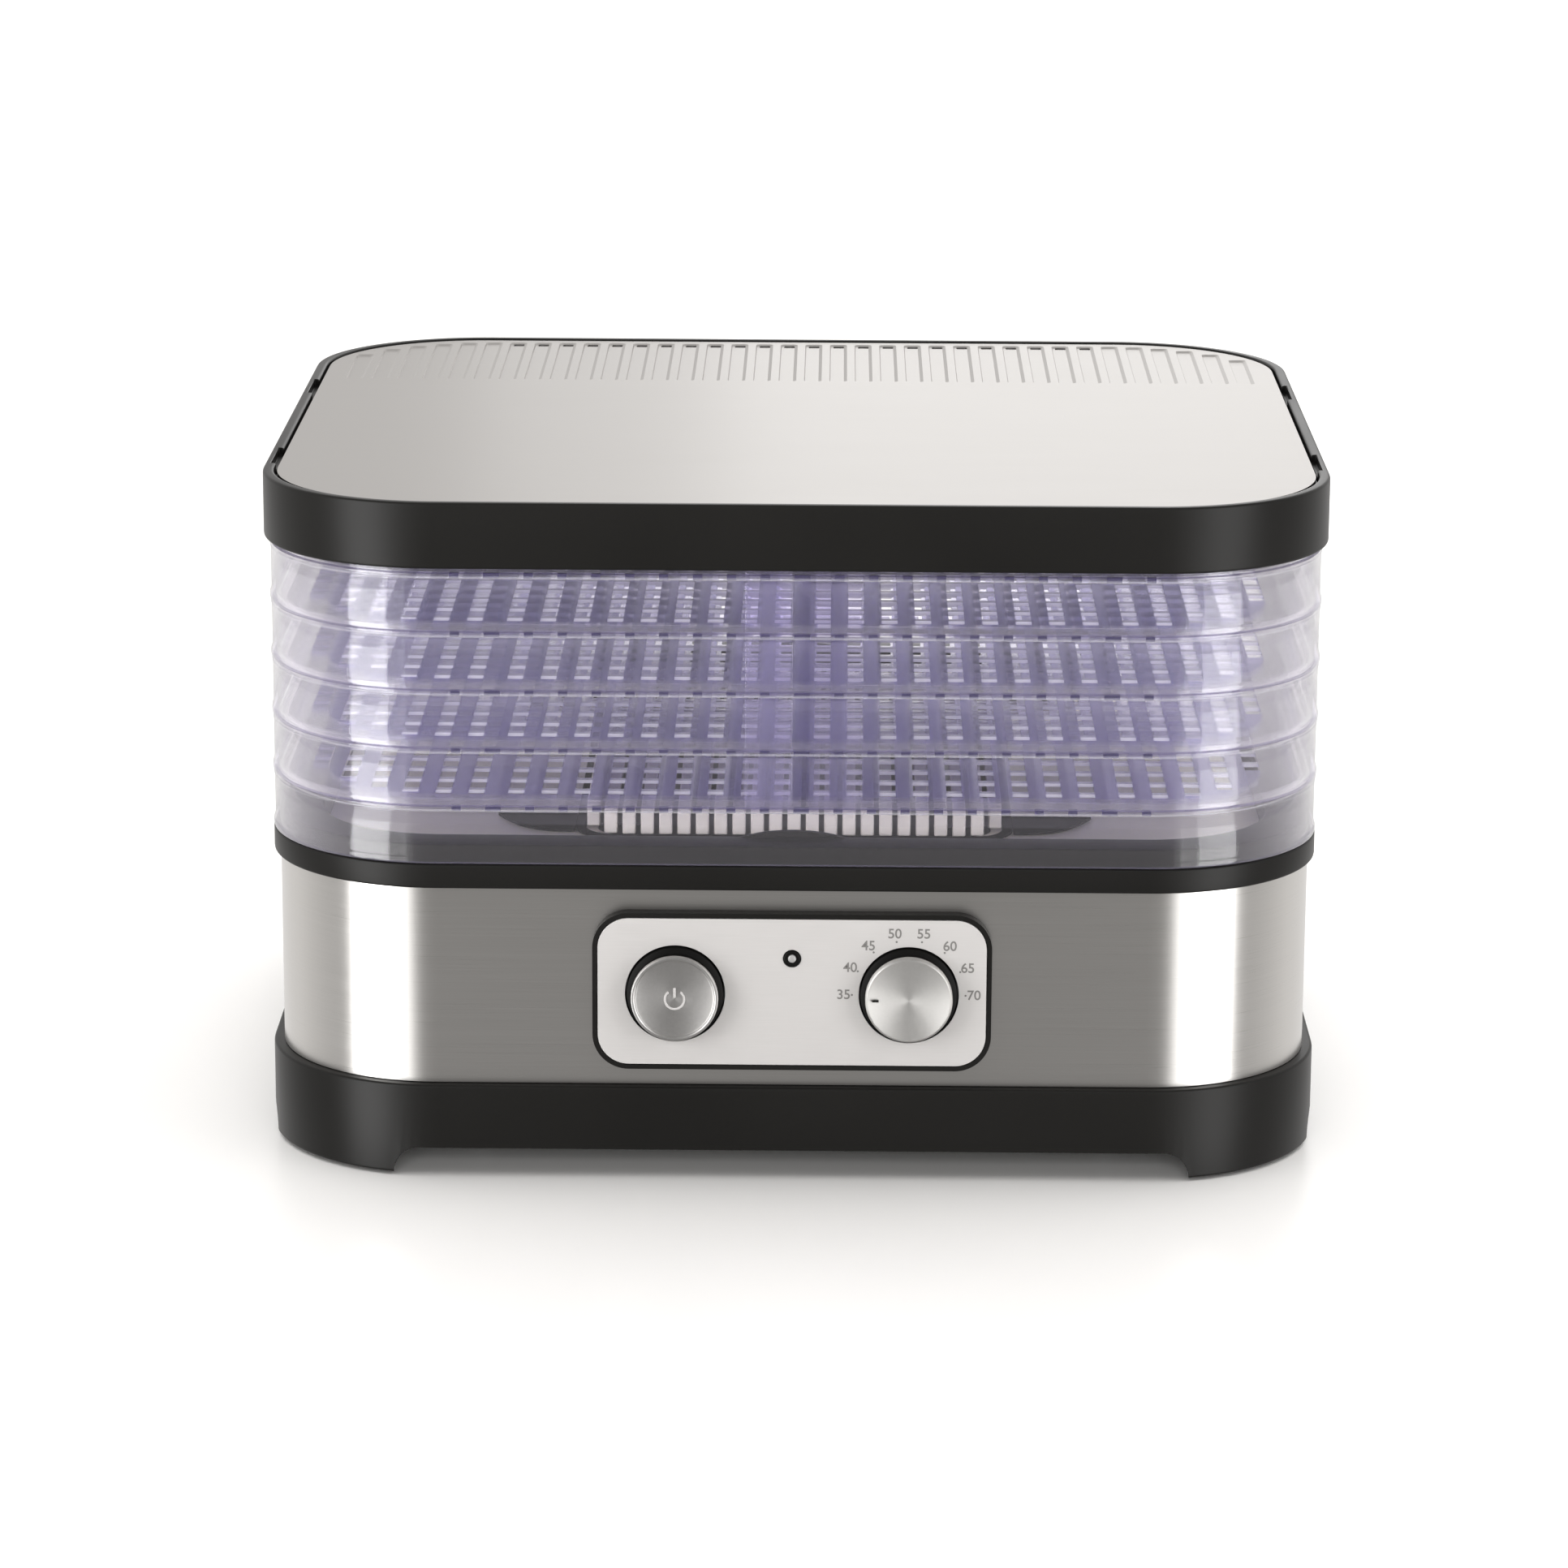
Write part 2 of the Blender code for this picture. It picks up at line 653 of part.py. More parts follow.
def make_power_button():
    x = -CONTROL_SPACING
    make_control_cap("power_button", x)
    make_control_skirt("power_button_skirt", x, 0.0060)
    rest_end = 0.1590
    plunger_front = PANEL_FACE - 0.0026
    length = plunger_front - rest_end
    centre = (x, -(plunger_front + rest_end) / 2, CONTROL_Z)
    finish(rod("switch_plunger", 0.0030, length, centre, (RIGHT_ANGLE, 0, 0), 12), PHENOLIC)
    body_depth = 0.018
    body_centre = (x, -(BRACKET_BACK - GAP - body_depth / 2), CONTROL_Z)
    body = block("switch_body", (0.020, body_depth, 0.026), body_centre)
    bore = rod("switch_bore", 0.0034, 0.030, (x, -0.170, CONTROL_Z), (RIGHT_ANGLE, 0, 0), 12)
    cut(body, bore)
    finish(body, PHENOLIC)


def make_thermostat():
    x = CONTROL_SPACING
    make_control_cap("thermostat_knob", x)
    make_control_skirt("thermostat_knob_skirt", x, 0.0042)
    shaft_front = PANEL_FACE - 0.0026
    shaft_back = 0.1570
    centre = (x, -(shaft_front + shaft_back) / 2, CONTROL_Z)
    length = shaft_front - shaft_back
    finish(rod("thermostat_shaft", 0.0030, length, centre, (RIGHT_ANGLE, 0, 0), 12), ZINC_STEEL)
    body_profile = [
        (0.0, -0.0090),
        (0.0034, -0.0090),
        (0.0034, 0.0),
        (0.0080, 0.0),
        (0.0080, -0.0030),
        (0.0150, -0.0030),
        (0.0150, -0.0160),
        (0.0, -0.0160),
    ]
    body = turned_solid("thermostat_body", body_profile, 20)
    face_front(body, x, BRACKET_BACK - GAP, CONTROL_Z)
    finish(body, ZINC_STEEL)
    pointer_centre = (x - 0.0124, -(PANEL_FACE + CAP_REACH + POINTER_PROUD / 2), CONTROL_Z)
    pointer = block("knob_pointer", (0.0024, POINTER_PROUD, 0.0008), pointer_centre)
    finish(pointer, BLACK_PLASTIC)


def make_sensor():
    """Liquid bulb under the deck and the thin tube that joins it to the thermostat."""
    x = CONTROL_SPACING
    start = (x, -0.1465, CONTROL_Z)
    middle = (x + 0.030, -0.128, 0.090)
    end = (0.100, -0.060, 0.1060)
    curve = bpy.data.curves.new("sensor_tube", "CURVE")
    curve.dimensions = "3D"
    curve.bevel_depth = 0.0012
    curve.bevel_resolution = 2
    curve.use_fill_caps = True
    spline = curve.splines.new("POLY")
    count = 10
    spline.points.add(count - 1)
    for index, point in enumerate(spline.points):
        t = index / (count - 1)
        weights = ((1 - t) ** 2, 2 * t * (1 - t), t * t)
        place = [sum(w * p[axis] for w, p in zip(weights, (start, middle, end))) for axis in range(3)]
        point.co = (*place, 1.0)
    finish(mesh_from_curve("sensor_tube", curve), DARK_METAL)
    bulb = rod("sensor_bulb", 0.0030, 0.050, (end[0], -0.0345, end[2]), (RIGHT_ANGLE, 0, 0), 12)
    finish(bulb, ZINC_STEEL)


def make_indicator():
    bezel_profile = [
        (0.0019, 0.0004),
        (0.0026, 0.0008),
        (0.0031, 0.0004),
        (0.0031, -0.0040),
        (0.0019, -0.0040),
    ]
    bezel = turned_solid("indicator_bezel", bezel_profile, 20)
    face_front(bezel, 0.0, PANEL_FACE, INDICATOR_Z)
    finish(bezel, BLACK_PLASTIC)
    lens_profile = [(0.0, 0.0007), (0.0010, 0.0005), (0.0016, 0.0), (0.0016, -0.0040), (0.0, -0.0040)]
    lens = turned_solid("indicator_lens", lens_profile, 16)
    face_front(lens, 0.0, PANEL_FACE, INDICATOR_Z)
    finish(lens, LENS)
    lamp = rod("indicator_lamp", 0.0026, 0.0140, (0.0, -0.1650, INDICATOR_Z), (RIGHT_ANGLE, 0, 0), 12)
    finish(lamp, LIGHT_PLASTIC)


# ---------------------------------------------------------------- fan and heater


def make_motor():
    bracket_outline = [
        (-0.070, 0.0),
        (-0.048, 0.0),
        (-0.048, 0.0020),
        (-0.052, 0.0020),
        (-0.052, 0.0260),
        (0.052, 0.0260),
        (0.052, 0.0020),
        (0.048, 0.0020),
        (0.048, 0.0),
        (0.070, 0.0),
        (0.070, 0.0020),
        (0.054, 0.0020),
        (0.054, 0.0280),
        (-0.054, 0.0280),
        (-0.054, 0.0020),
        (-0.070, 0.0020),
    ]
    foot_z = FLOOR_TOP + GAP + 0.0020 + GAP
    bracket = flat_solid("motor_bracket", [bracket_outline], -0.012, 0.012)
    bracket.rotation_euler = (RIGHT_ANGLE, 0.0, 0.0)
    bracket.location = (0.0, 0.0, foot_z)
    finish(bracket, ZINC_STEEL)
    motor_low = foot_z + 0.0280 + GAP
    motor_profile = [
        (0.0, 0.0080),
        (0.0028, 0.0080),
        (0.0028, 0.0300),
        (0.0100, 0.0300),
        (0.0100, 0.0260),
        (0.0260, 0.0260),
        (0.0290, 0.0230),
        (0.0290, 0.0030),
        (0.0260, 0.0),
        (0.0, 0.0),
    ]
    motor = turned_solid("motor_body", motor_profile, 20)
    motor.location = (0.0, 0.0, motor_low)
    finish(motor, DARK_METAL)
    return motor_low


def make_fan(motor_low):
    shaft_low = motor_low + 0.0085
    shaft_high = motor_low + 0.0470
    centre = (0.0, 0.0, (shaft_low + shaft_high) / 2)
    finish(rod("motor_shaft", SHAFT_RADIUS, shaft_high - shaft_low, centre, sides=16), ZINC_STEEL)
    hub_low = motor_low + 0.0315
    hub_profile = [
        (0.0028, 0.0140),
        (0.0095, 0.0140),
        (0.0120, 0.0115),
        (0.0120, 0.0),
        (0.0028, 0.0),
    ]
    fan = turned_solid("fan_impeller", hub_profile, 16)
    fan.location = (0.0, 0.0, hub_low)
    blade_inner = 0.0105
    blade_length = FAN_RADIUS - blade_inner
    pitch = math.radians(32)
    for index in range(FAN_BLADES):
        angle = 2 * math.pi * index / FAN_BLADES
        middle = blade_inner + blade_length / 2
        place = (middle * math.cos(angle), middle * math.sin(angle), hub_low + 0.0068)
        blade = block("blade", (blade_length, 0.020, 0.0014), place)
        blade.rotation_euler = (pitch, 0.0, angle)
        join(fan, blade)
    finish(fan, BLACK_PLASTIC)
    return hub_low


def make_air_duct(hub_low):
    low = hub_low - 0.0020
    high = DECK_BOTTOM - GAP
    duct_profile = [
        (DUCT_RADIUS, high),
        (DUCT_RADIUS + 0.0100, high),
        (DUCT_RADIUS + 0.0100, high - 0.0018),
        (DUCT_RADIUS + 0.0015, high - 0.0018),
        (DUCT_RADIUS + 0.0015, low),
        (DUCT_RADIUS, low),
    ]
    finish(turned_solid("air_duct", duct_profile, 28), ZINC_STEEL)


def make_heater(hub_low):
    frame_low = hub_low + 0.0160
    frame_height = 0.0050
    reach = DUCT_RADIUS - 0.0008
    frame = block("heater_frame", (2 * reach, 0.0016, frame_height), (0, 0, frame_low + frame_height / 2))
    cross = block("heater_cross", (0.0016, 2 * reach, frame_height), (0, 0, frame_low + frame_height / 2))
    join(frame, cross)
    finish(frame, MICA)
    wire_radius = 0.0022
    coil_z = frame_low + frame_height + GAP + wire_radius
    curve = bpy.data.curves.new("heater_coil", "CURVE")
    curve.dimensions = "3D"
    curve.bevel_depth = wire_radius
    curve.bevel_resolution = 2
    curve.use_fill_caps = True
    spline = curve.splines.new("POLY")
    count = 30
    turns = 1.9
    spline.points.add(count - 1)
    for index, point in enumerate(spline.points):
        share = index / (count - 1)
        angle = 2 * math.pi * turns * share
        radius = HEATER_RADIUS - 0.017 * share
        point.co = (radius * math.cos(angle), radius * math.sin(angle), coil_z, 1.0)
    finish(mesh_from_curve("heater_coil", curve), DARK_METAL)
    cutout_centre = (-0.046, -0.008, frame_low + 0.0030)
    cutout = rod("thermal_cutout", 0.0050, 0.0060, cutout_centre, sides=12)
    finish(cutout, PHENOLIC)


def make_terminal_block():
    terminal_block = block("terminal_block", (0.030, 0.016, 0.014), (0.120, 0.095, 0.0225))
    for x in (0.115, 0.125):
        cut(terminal_block, block("groove", (0.0016, 0.020, 0.006), (x, 0.095, 0.0285)))
    finish(terminal_block, LIGHT_PLASTIC)


# ---------------------------------------------------------------- trays and lid


def make_tray(number):
    """A skirt with a rim for the next tray, a ledge for the mesh and four pillars that stand on it."""
    section = [
        (LIP_INSET, GAP),
        (LIP_INSET, 0.0024),
        (WALL_INSET, 0.0030),
        (WALL_INSET, TRAY_PITCH),
        (RIM_INSET, TRAY_PITCH),
        (RIM_INSET, TRAY_PITCH + RIM_HEIGHT),
        (RIM_END, TRAY_PITCH + RIM_HEIGHT),
        (RIM_END, LEDGE_TOP),
        (LEDGE_END, LEDGE_TOP),
        (LEDGE_END, LEDGE_TOP - LEDGE_THICKNESS),
        (WALL_INSET + WALL_THICKNESS, LEDGE_TOP - LEDGE_THICKNESS - 0.0030),
        (WALL_INSET + WALL_THICKNESS, GAP),
    ]
    tray = swept_ring(f"tray_{number}", section)
    foot_low = LEDGE_TOP - LEDGE_THICKNESS
    foot_end = PILLAR_INSET + PILLAR_DEPTH
    foot_depth = foot_end - LEDGE_END + 0.0010
    for side, centre_x, width in pillar_places():
        foot_y = side * (DEPTH / 2 - foot_end + foot_depth / 2)
        foot_centre = (centre_x, foot_y, foot_low + LEDGE_THICKNESS / 2)
        join(tray, block("pillar_foot", (width, foot_depth, LEDGE_THICKNESS), foot_centre))
        pillar_low = foot_low + LEDGE_THICKNESS / 2
        pillar_high = MESH_TOP + PILLAR_HEIGHT
        pillar_y = side * (DEPTH / 2 - PILLAR_INSET - PILLAR_DEPTH / 2)
        pillar_centre = (centre_x, pillar_y, (pillar_low + pillar_high) / 2)
        pillar_size = (width - 0.0004, PILLAR_DEPTH - 0.0002, pillar_high - pillar_low)
        join(tray, block("pillar", pillar_size, pillar_centre))
    finish(tray, CLEAR_PLASTIC)
    return tray


def pillar_places():
    """Side of the tray (-1 is the front), middle and width of each pillar, alike after half a turn."""
    places = []
    for centre_x, width in (RIGHT_PILLAR, LEFT_PILLAR):
        places.append((-1, centre_x, width))
        places.append((1, -centre_x, width))
    return places


def make_tray_mesh(number):
    """The slotted floor that food lies on, with a notch for each pillar."""
    field_half_x = WIDTH / 2 - 0.016
    field_half_y = DEPTH / 2 - 0.024
    bar = 0.0060
    pitch_x = 2 * field_half_x / MESH_COLUMNS
    holes = []
    for column in range(MESH_COLUMNS):
        x = (column - (MESH_COLUMNS - 1) / 2) * pitch_x
        corner_reach = max(0.0, abs(x) + pitch_x / 2 - (WIDTH / 2 - CORNER_RADIUS))
        corner_loss = CORNER_RADIUS - math.sqrt(CORNER_RADIUS**2 - corner_reach**2)
        near = bar / 2
        far = field_half_y - corner_loss
        for side in (-1, 1):
            centre = (x, side * (near + far) / 2)
            holes.append(rectangle((pitch_x - bar) / 2, (far - near) / 2, centre))
    for side, centre_x, width in pillar_places():
        notch_y = side * (DEPTH / 2 - PILLAR_INSET - PILLAR_DEPTH / 2)
        holes.append(rectangle(width / 2 + GAP, PILLAR_DEPTH / 2 + GAP, (centre_x, notch_y)))
    outlines = [casing_outline(RIM_END + GAP), *holes]
    mesh = flat_solid(f"tray_mesh_{number}", outlines, MESH_TOP - MESH_THICKNESS, MESH_TOP)
    finish(mesh, CLEAR_PLASTIC)
    return mesh


def place_tray(number, *nodes):
    """Odd trays are turned half round, as they are stacked to nest at this height."""
    turn = math.pi if number % 2 else 0.0
    carrier = bpy.data.objects.new(f"tray_{number}_carrier", None)
    CUTTERS.objects.link(carrier)
    for node in nodes:
        node.parent = carrier
        for modifier in node.modifiers:
            modifier.object.parent = carrier
    carrier.rotation_euler = (0.0, 0.0, turn)
    carrier.location = (0.0, 0.0, COLLAR_TOP + (number - 1) * TRAY_PITCH)


def make_lid_frame():
    wall = 0.0030
    section = [
        (0.0006, LID_BOTTOM + GAP),
        (0.0, LID_BOTTOM + 0.0010),
        (0.0, LID_TOP - 0.0016),
        (0.0005, LID_TOP - 0.0005),
        (0.0016, LID_TOP),
        (0.0038, LID_TOP),
        (0.0042, LID_TOP - 0.0005),
        (0.0042, WEB_BOTTOM),
        (wall, WEB_BOTTOM),
        (wall, RIM_TOP + GAP + 0.0015),
        (RIM_END, RIM_TOP + GAP + 0.0015),
        (RIM_END, RIM_TOP + GAP),
        (wall, RIM_TOP + GAP),
        (wall, LID_BOTTOM + GAP),
    ]
    frame = swept_ring("lid_frame", section)
    vent_opening = rectangle(VENT_PITCH * VENT_HOLES / 2, 0.0030, (0.0, SLIT_Y))
    tab_slots = [rectangle(0.0016, 0.0090, place) for place in tab_places(TAB_X)]
    web_outlines = [casing_outline(wall - 0.0010), vent_opening, *tab_slots]
    join(frame, flat_solid("web", web_outlines, WEB_BOTTOM, WEB_TOP))
    notch_depth = 0.0030
    for x, y in tab_places(WIDTH / 2 - 0.0040):
        notch_centre = (x, y, LID_TOP - notch_depth / 2 + 0.0001)
        cut(frame, block("notch", (0.0036, 0.030, notch_depth), notch_centre))
    finish(frame, BLACK_PLASTIC)


def tab_places(x):
    return [(side * x, y) for y in TAB_PLACES for side in (-1, 1)]


def plate_back_edge(x):
    """How far back the lid plate reaches at x."""
    radius = CORNER_RADIUS - PLATE_INSET
    past_straight = max(0.0, abs(x) - (WIDTH / 2 - CORNER_RADIUS))
    return DEPTH / 2 - CORNER_RADIUS + math.sqrt(radius**2 - past_straight**2)


def make_lid_top_plate():
    plate_low = WEB_TOP + GAP
    plate = flat_solid("lid_top_plate", [casing_outline(PLATE_INSET)], plate_low, PLATE_TOP)
    tab_height = 0.0060
    for x, y in tab_places(TAB_X):
        centre = (x, y, plate_low + 0.0005 - tab_height / 2)
        join(plate, block("tab", (0.0010, 0.0160, tab_height), centre))
    grooves = []
    slits = []
    for index in range(VENT_COUNT):
        x = (index - (VENT_COUNT - 1) / 2) * VENT_PITCH
        back = plate_back_edge(abs(x) + VENT_WIDTH / 2) - VENT_MARGIN
        grooves.append(rectangle(VENT_WIDTH / 2, (back - VENT_FRONT) / 2, (x, (back + VENT_FRONT) / 2)))
        if abs(x) < VENT_PITCH * VENT_HOLES / 2:
            slits.append(rectangle(VENT_WIDTH / 2 - 0.0010, 0.0015, (x, SLIT_Y)))
    floor = PLATE_TOP - VENT_DEPTH
    cut(plate, flat_solid("vent_grooves", grooves, floor, PLATE_TOP + 0.01))
    cut(plate, flat_solid("vent_slits", slits, plate_low - 0.01, floor + 0.0005))
    finish(plate, BRUSHED_STEEL)


# ---------------------------------------------------------------- assembly


make_bottom_housing()
make_foot_pads()
make_base_screws()
make_intake_grille()
make_steel_wrap()
make_upper_housing()
make_deck_plate()
make_outlet_grille()
make_outlet_surround()
make_cord_gland()
make_panel_gasket()
make_panel_plate()
make_panel_bracket()
make_power_button()
make_thermostat()
make_sensor()
make_indicator()
MOTOR_LOW = make_motor()
HUB_LOW = make_fan(MOTOR_LOW)
make_air_duct(HUB_LOW)
make_heater(HUB_LOW)
make_terminal_block()
for tray_number in range(1, TRAY_COUNT + 1):
    place_tray(tray_number, make_tray(tray_number), make_tray_mesh(tray_number))
make_lid_frame()
make_lid_top_plate()
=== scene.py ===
"""Looks of the food dehydrator: camera, studio, materials and the finely shaped visible pieces.

Metres, +Z up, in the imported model's frame: the controls face -Y and the table is at Z = 0.
"""
import json
import math

import bmesh
import bpy
from mathutils import Matrix, Vector


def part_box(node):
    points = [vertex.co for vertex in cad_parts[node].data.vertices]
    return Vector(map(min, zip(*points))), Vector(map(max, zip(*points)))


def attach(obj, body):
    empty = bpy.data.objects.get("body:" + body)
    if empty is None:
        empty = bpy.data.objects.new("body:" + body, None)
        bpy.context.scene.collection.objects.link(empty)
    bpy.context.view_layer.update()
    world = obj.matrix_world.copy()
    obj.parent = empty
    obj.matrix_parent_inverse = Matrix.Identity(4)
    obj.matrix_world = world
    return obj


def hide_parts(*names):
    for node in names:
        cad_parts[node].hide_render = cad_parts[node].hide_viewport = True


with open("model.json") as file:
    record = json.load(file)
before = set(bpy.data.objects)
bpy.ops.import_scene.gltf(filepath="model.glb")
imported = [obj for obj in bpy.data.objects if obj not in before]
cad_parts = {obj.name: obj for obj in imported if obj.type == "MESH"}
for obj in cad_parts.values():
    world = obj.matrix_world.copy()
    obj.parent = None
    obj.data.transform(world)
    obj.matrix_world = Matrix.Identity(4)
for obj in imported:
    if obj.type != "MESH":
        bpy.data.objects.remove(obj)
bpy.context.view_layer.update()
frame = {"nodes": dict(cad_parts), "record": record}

NODES = frame["nodes"]

# Casing, read from the frame
LID_LOW, LID_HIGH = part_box("lid_frame")
HALF_WIDTH = LID_HIGH.x
HALF_DEPTH = LID_HIGH.y
LID_BOTTOM = LID_LOW.z
LID_TOP = LID_HIGH.z
TRAY_NUMBERS = range(1, 1 + sum(name.startswith("tray_mesh_") for name in NODES))
TRAY_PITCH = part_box("tray_2")[0].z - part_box("tray_1")[0].z
WRAP_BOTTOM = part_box("steel_wrap")[0].z
WRAP_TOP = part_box("steel_wrap")[1].z
DECK_BOTTOM, DECK_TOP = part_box("deck_plate")[0].z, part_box("deck_plate")[1].z
PANEL_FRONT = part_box("panel_plate")[0].y
PANEL_LOW, PANEL_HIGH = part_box("panel_gasket")
PLATE_LOW, PLATE_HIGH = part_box("panel_plate")
BUTTON_LOW, BUTTON_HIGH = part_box("power_button")
KNOB_LOW, KNOB_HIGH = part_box("thermostat_knob")
GRILLE_LOW, GRILLE_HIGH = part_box("outlet_grille")
CONTROL_Z = (KNOB_LOW.z + KNOB_HIGH.z) / 2
KNOB_X = (KNOB_LOW.x + KNOB_HIGH.x) / 2
BUTTON_X = (BUTTON_LOW.x + BUTTON_HIGH.x) / 2

# The casing's outline, and the gap kept between neighbouring pieces
CORNER_RADIUS = 0.068
CORNER_STEPS = 28
GAP = 0.0003
RIGHT_ANGLE = math.pi / 2
SHARP_ANGLE = math.radians(35)


# ---------------------------------------------------------------- outlines


def arc(centre_x, centre_y, radius, start_degrees, end_degrees, steps):
    start = math.radians(start_degrees)
    step = math.radians(end_degrees - start_degrees) / steps
    angles = [start + step * index for index in range(steps + 1)]
    return [(centre_x + radius * math.cos(a), centre_y + radius * math.sin(a)) for a in angles]


def rounded_rectangle(half_x, half_y, radius, steps=6, centre=(0.0, 0.0)):
    points = []
    for side_x, side_y, start in ((1, 1, 0), (-1, 1, 90), (-1, -1, 180), (1, -1, 270)):
        corner_x = centre[0] + side_x * (half_x - radius)
        corner_y = centre[1] + side_y * (half_y - radius)
        points += arc(corner_x, corner_y, radius, start, start + 90, steps)
    return points


def casing_outline(inset):
    radius = CORNER_RADIUS - inset
    return rounded_rectangle(HALF_WIDTH - inset, HALF_DEPTH - inset, radius, CORNER_STEPS)


def rectangle(half_x, half_y, centre=(0.0, 0.0)):
    signs = ((1, 1), (-1, 1), (-1, -1), (1, -1))
    return [(centre[0] + sx * half_x, centre[1] + sy * half_y) for sx, sy in signs]


def circle(radius, count, centre=(0.0, 0.0)):
    return arc(centre[0], centre[1], radius, 0, 360, count)[:-1]


# ---------------------------------------------------------------- shapes


def new_piece(name, mesh):
    piece = bpy.data.objects.new(name, mesh)
    bpy.context.scene.collection.objects.link(piece)
    return piece


def finish_mesh(name, shape):
    """Turn the faces outward, write the mesh and smooth all but its sharp edges."""
    bmesh.ops.recalc_face_normals(shape, faces=shape.faces)
    mesh = bpy.data.meshes.new(name)
    shape.to_mesh(mesh)
    shape.free()
    mesh.shade_smooth()
    mesh.set_sharp_from_angle(angle=SHARP_ANGLE)
    return mesh


def ring_mesh(name, section):
    """Run a closed section of (inset, height) points round the casing's outline."""
    shape = bmesh.new()
    rows = []
    for inset, height in section:
        rows.append([shape.verts.new((x, y, height)) for x, y in casing_outline(inset)])
    count = len(rows[0])
    for row, following in zip(rows, rows[1:] + rows[:1]):
        for index in range(count):
            after = (index + 1) % count
            shape.faces.new((row[index], row[after], following[after], following[index]))
    return finish_mesh(name, shape)


def rounded_section(corners, radius, steps=3):
    """Round each corner of a closed section that isn't flat, by radius or by what its sides allow."""
    points = []
    count = len(corners)
    for index, corner in enumerate(corners):
        here = Vector(corner)
        before = Vector(corners[index - 1]) - here
        after = Vector(corners[(index + 1) % count]) - here
        reach = min(radius, before.length * 0.45, after.length * 0.45)
        start = here + before.normalized() * reach
        end = here + after.normalized() * reach
        for step in range(steps + 1):
            t = step / steps
            point = start * (1 - t) ** 2 + here * 2 * t * (1 - t) + end * t * t
            points.append((point.x, point.y))
    return points


def flat_mesh(name, outlines, low, high):
    """Extrude an outline from low to high; any further outlines are holes in it."""
    curve = bpy.data.curves.new(name, "CURVE")
    curve.dimensions = "2D"
    curve.fill_mode = "BOTH"
    curve.extrude = (high - low) / 2
    for outline in outlines:
        spline = curve.splines.new("POLY")
        spline.points.add(len(outline) - 1)
        for point, (x, y) in zip(spline.points, outline):
            point.co = (x, y, 0.0, 1.0)
        spline.use_cyclic_u = True
    guide = new_piece(name + "_guide", curve)
    evaluated = guide.evaluated_get(bpy.context.evaluated_depsgraph_get())
    source = bpy.data.meshes.new_from_object(evaluated)
    bpy.data.objects.remove(guide)
    shape = bmesh.new()
    shape.from_mesh(source)
    bpy.data.meshes.remove(source)
    bmesh.ops.translate(shape, verts=shape.verts, vec=(0.0, 0.0, (low + high) / 2))
    bmesh.ops.remove_doubles(shape, verts=shape.verts, dist=0.00001)
    return finish_mesh(name, shape)


def turned_mesh(name, profile, steps=64):
    """Turn a profile of (radius, height) points about Z, closed on the axis or by its own last side."""
    shape = bmesh.new()
    rows = []
    for radius, height in profile:
        if radius == 0.0:
            rows.append([shape.verts.new((0.0, 0.0, height))] * steps)
            continue
        rows.append([shape.verts.new((x, y, height)) for x, y in circle(radius, steps)])
    closed = profile[0][0] > 0.0
    pairs = list(zip(rows, rows[1:] + rows[:1])) if closed else list(zip(rows, rows[1:]))
    for row, following in pairs:
        for index in range(steps):
            after = (index + 1) % steps
            corners = [row[index], row[after], following[after], following[index]]
            shape.faces.new(list(dict.fromkeys(corners)))
    return finish_mesh(name, shape)


def block_mesh(name, boxes):
    """One mesh of separate boxes, each given as (size, centre)."""
    shape = bmesh.new()
    for size, centre in boxes:
        cube = bmesh.ops.create_cube(shape, size=1.0)
        bmesh.ops.scale(shape, vec=size, verts=cube["verts"])
        bmesh.ops.translate(shape, vec=centre, verts=cube["verts"])
    return finish_mesh(name, shape)


def soften(piece, width, segments=2):
    """Round a piece's sharp edges by width."""
    bevel = piece.modifiers.new("soft_edges", "BEVEL")
    bevel.width = width
    bevel.segments = segments
    bevel.limit_method = "ANGLE"
    bevel.angle_limit = math.radians(40)
    bevel.harden_normals = False
    return piece


def cut(piece, cutter_mesh, matrix=Matrix()):
    """Cut a mesh out of a piece and keep the result as the piece's own mesh."""
    cutter = new_piece("cutter", cutter_mesh)
    cutter.matrix_world = matrix
    boolean = piece.modifiers.new("cut", "BOOLEAN")
    boolean.operation = "DIFFERENCE"
    boolean.solver = "EXACT"
    boolean.object = cutter
    evaluated = piece.evaluated_get(bpy.context.evaluated_depsgraph_get())
    piece.data = bpy.data.meshes.new_from_object(evaluated)
    piece.modifiers.clear()
    bpy.data.objects.remove(cutter)
    piece.data.shade_smooth()
    piece.data.set_sharp_from_angle(angle=SHARP_ANGLE)


def out_of_front(x, front, z):
    """Matrix that stands a shape made along +Z so that it points out of the front."""
    return Matrix.Translation((x, front, z)) @ Matrix.Rotation(RIGHT_ANGLE, 4, "X")


def tint_faces(piece, material, chosen):
    """Give one more material to the faces that a test picks."""
    piece.data.materials.append(material)
    for polygon in piece.data.polygons:
        if chosen(polygon):
            polygon.material_index = len(piece.data.materials) - 1


def dress(piece, material, body, slot, *replaced):
    """Give a piece its material and body, and hide the nodes that it stands for; the slot argument is not
    used.
    """
    piece.data.materials.clear()
    piece.data.materials.append(material)
    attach(piece, body)
    if replaced:
        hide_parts(*replaced)


# ---------------------------------------------------------------- materials


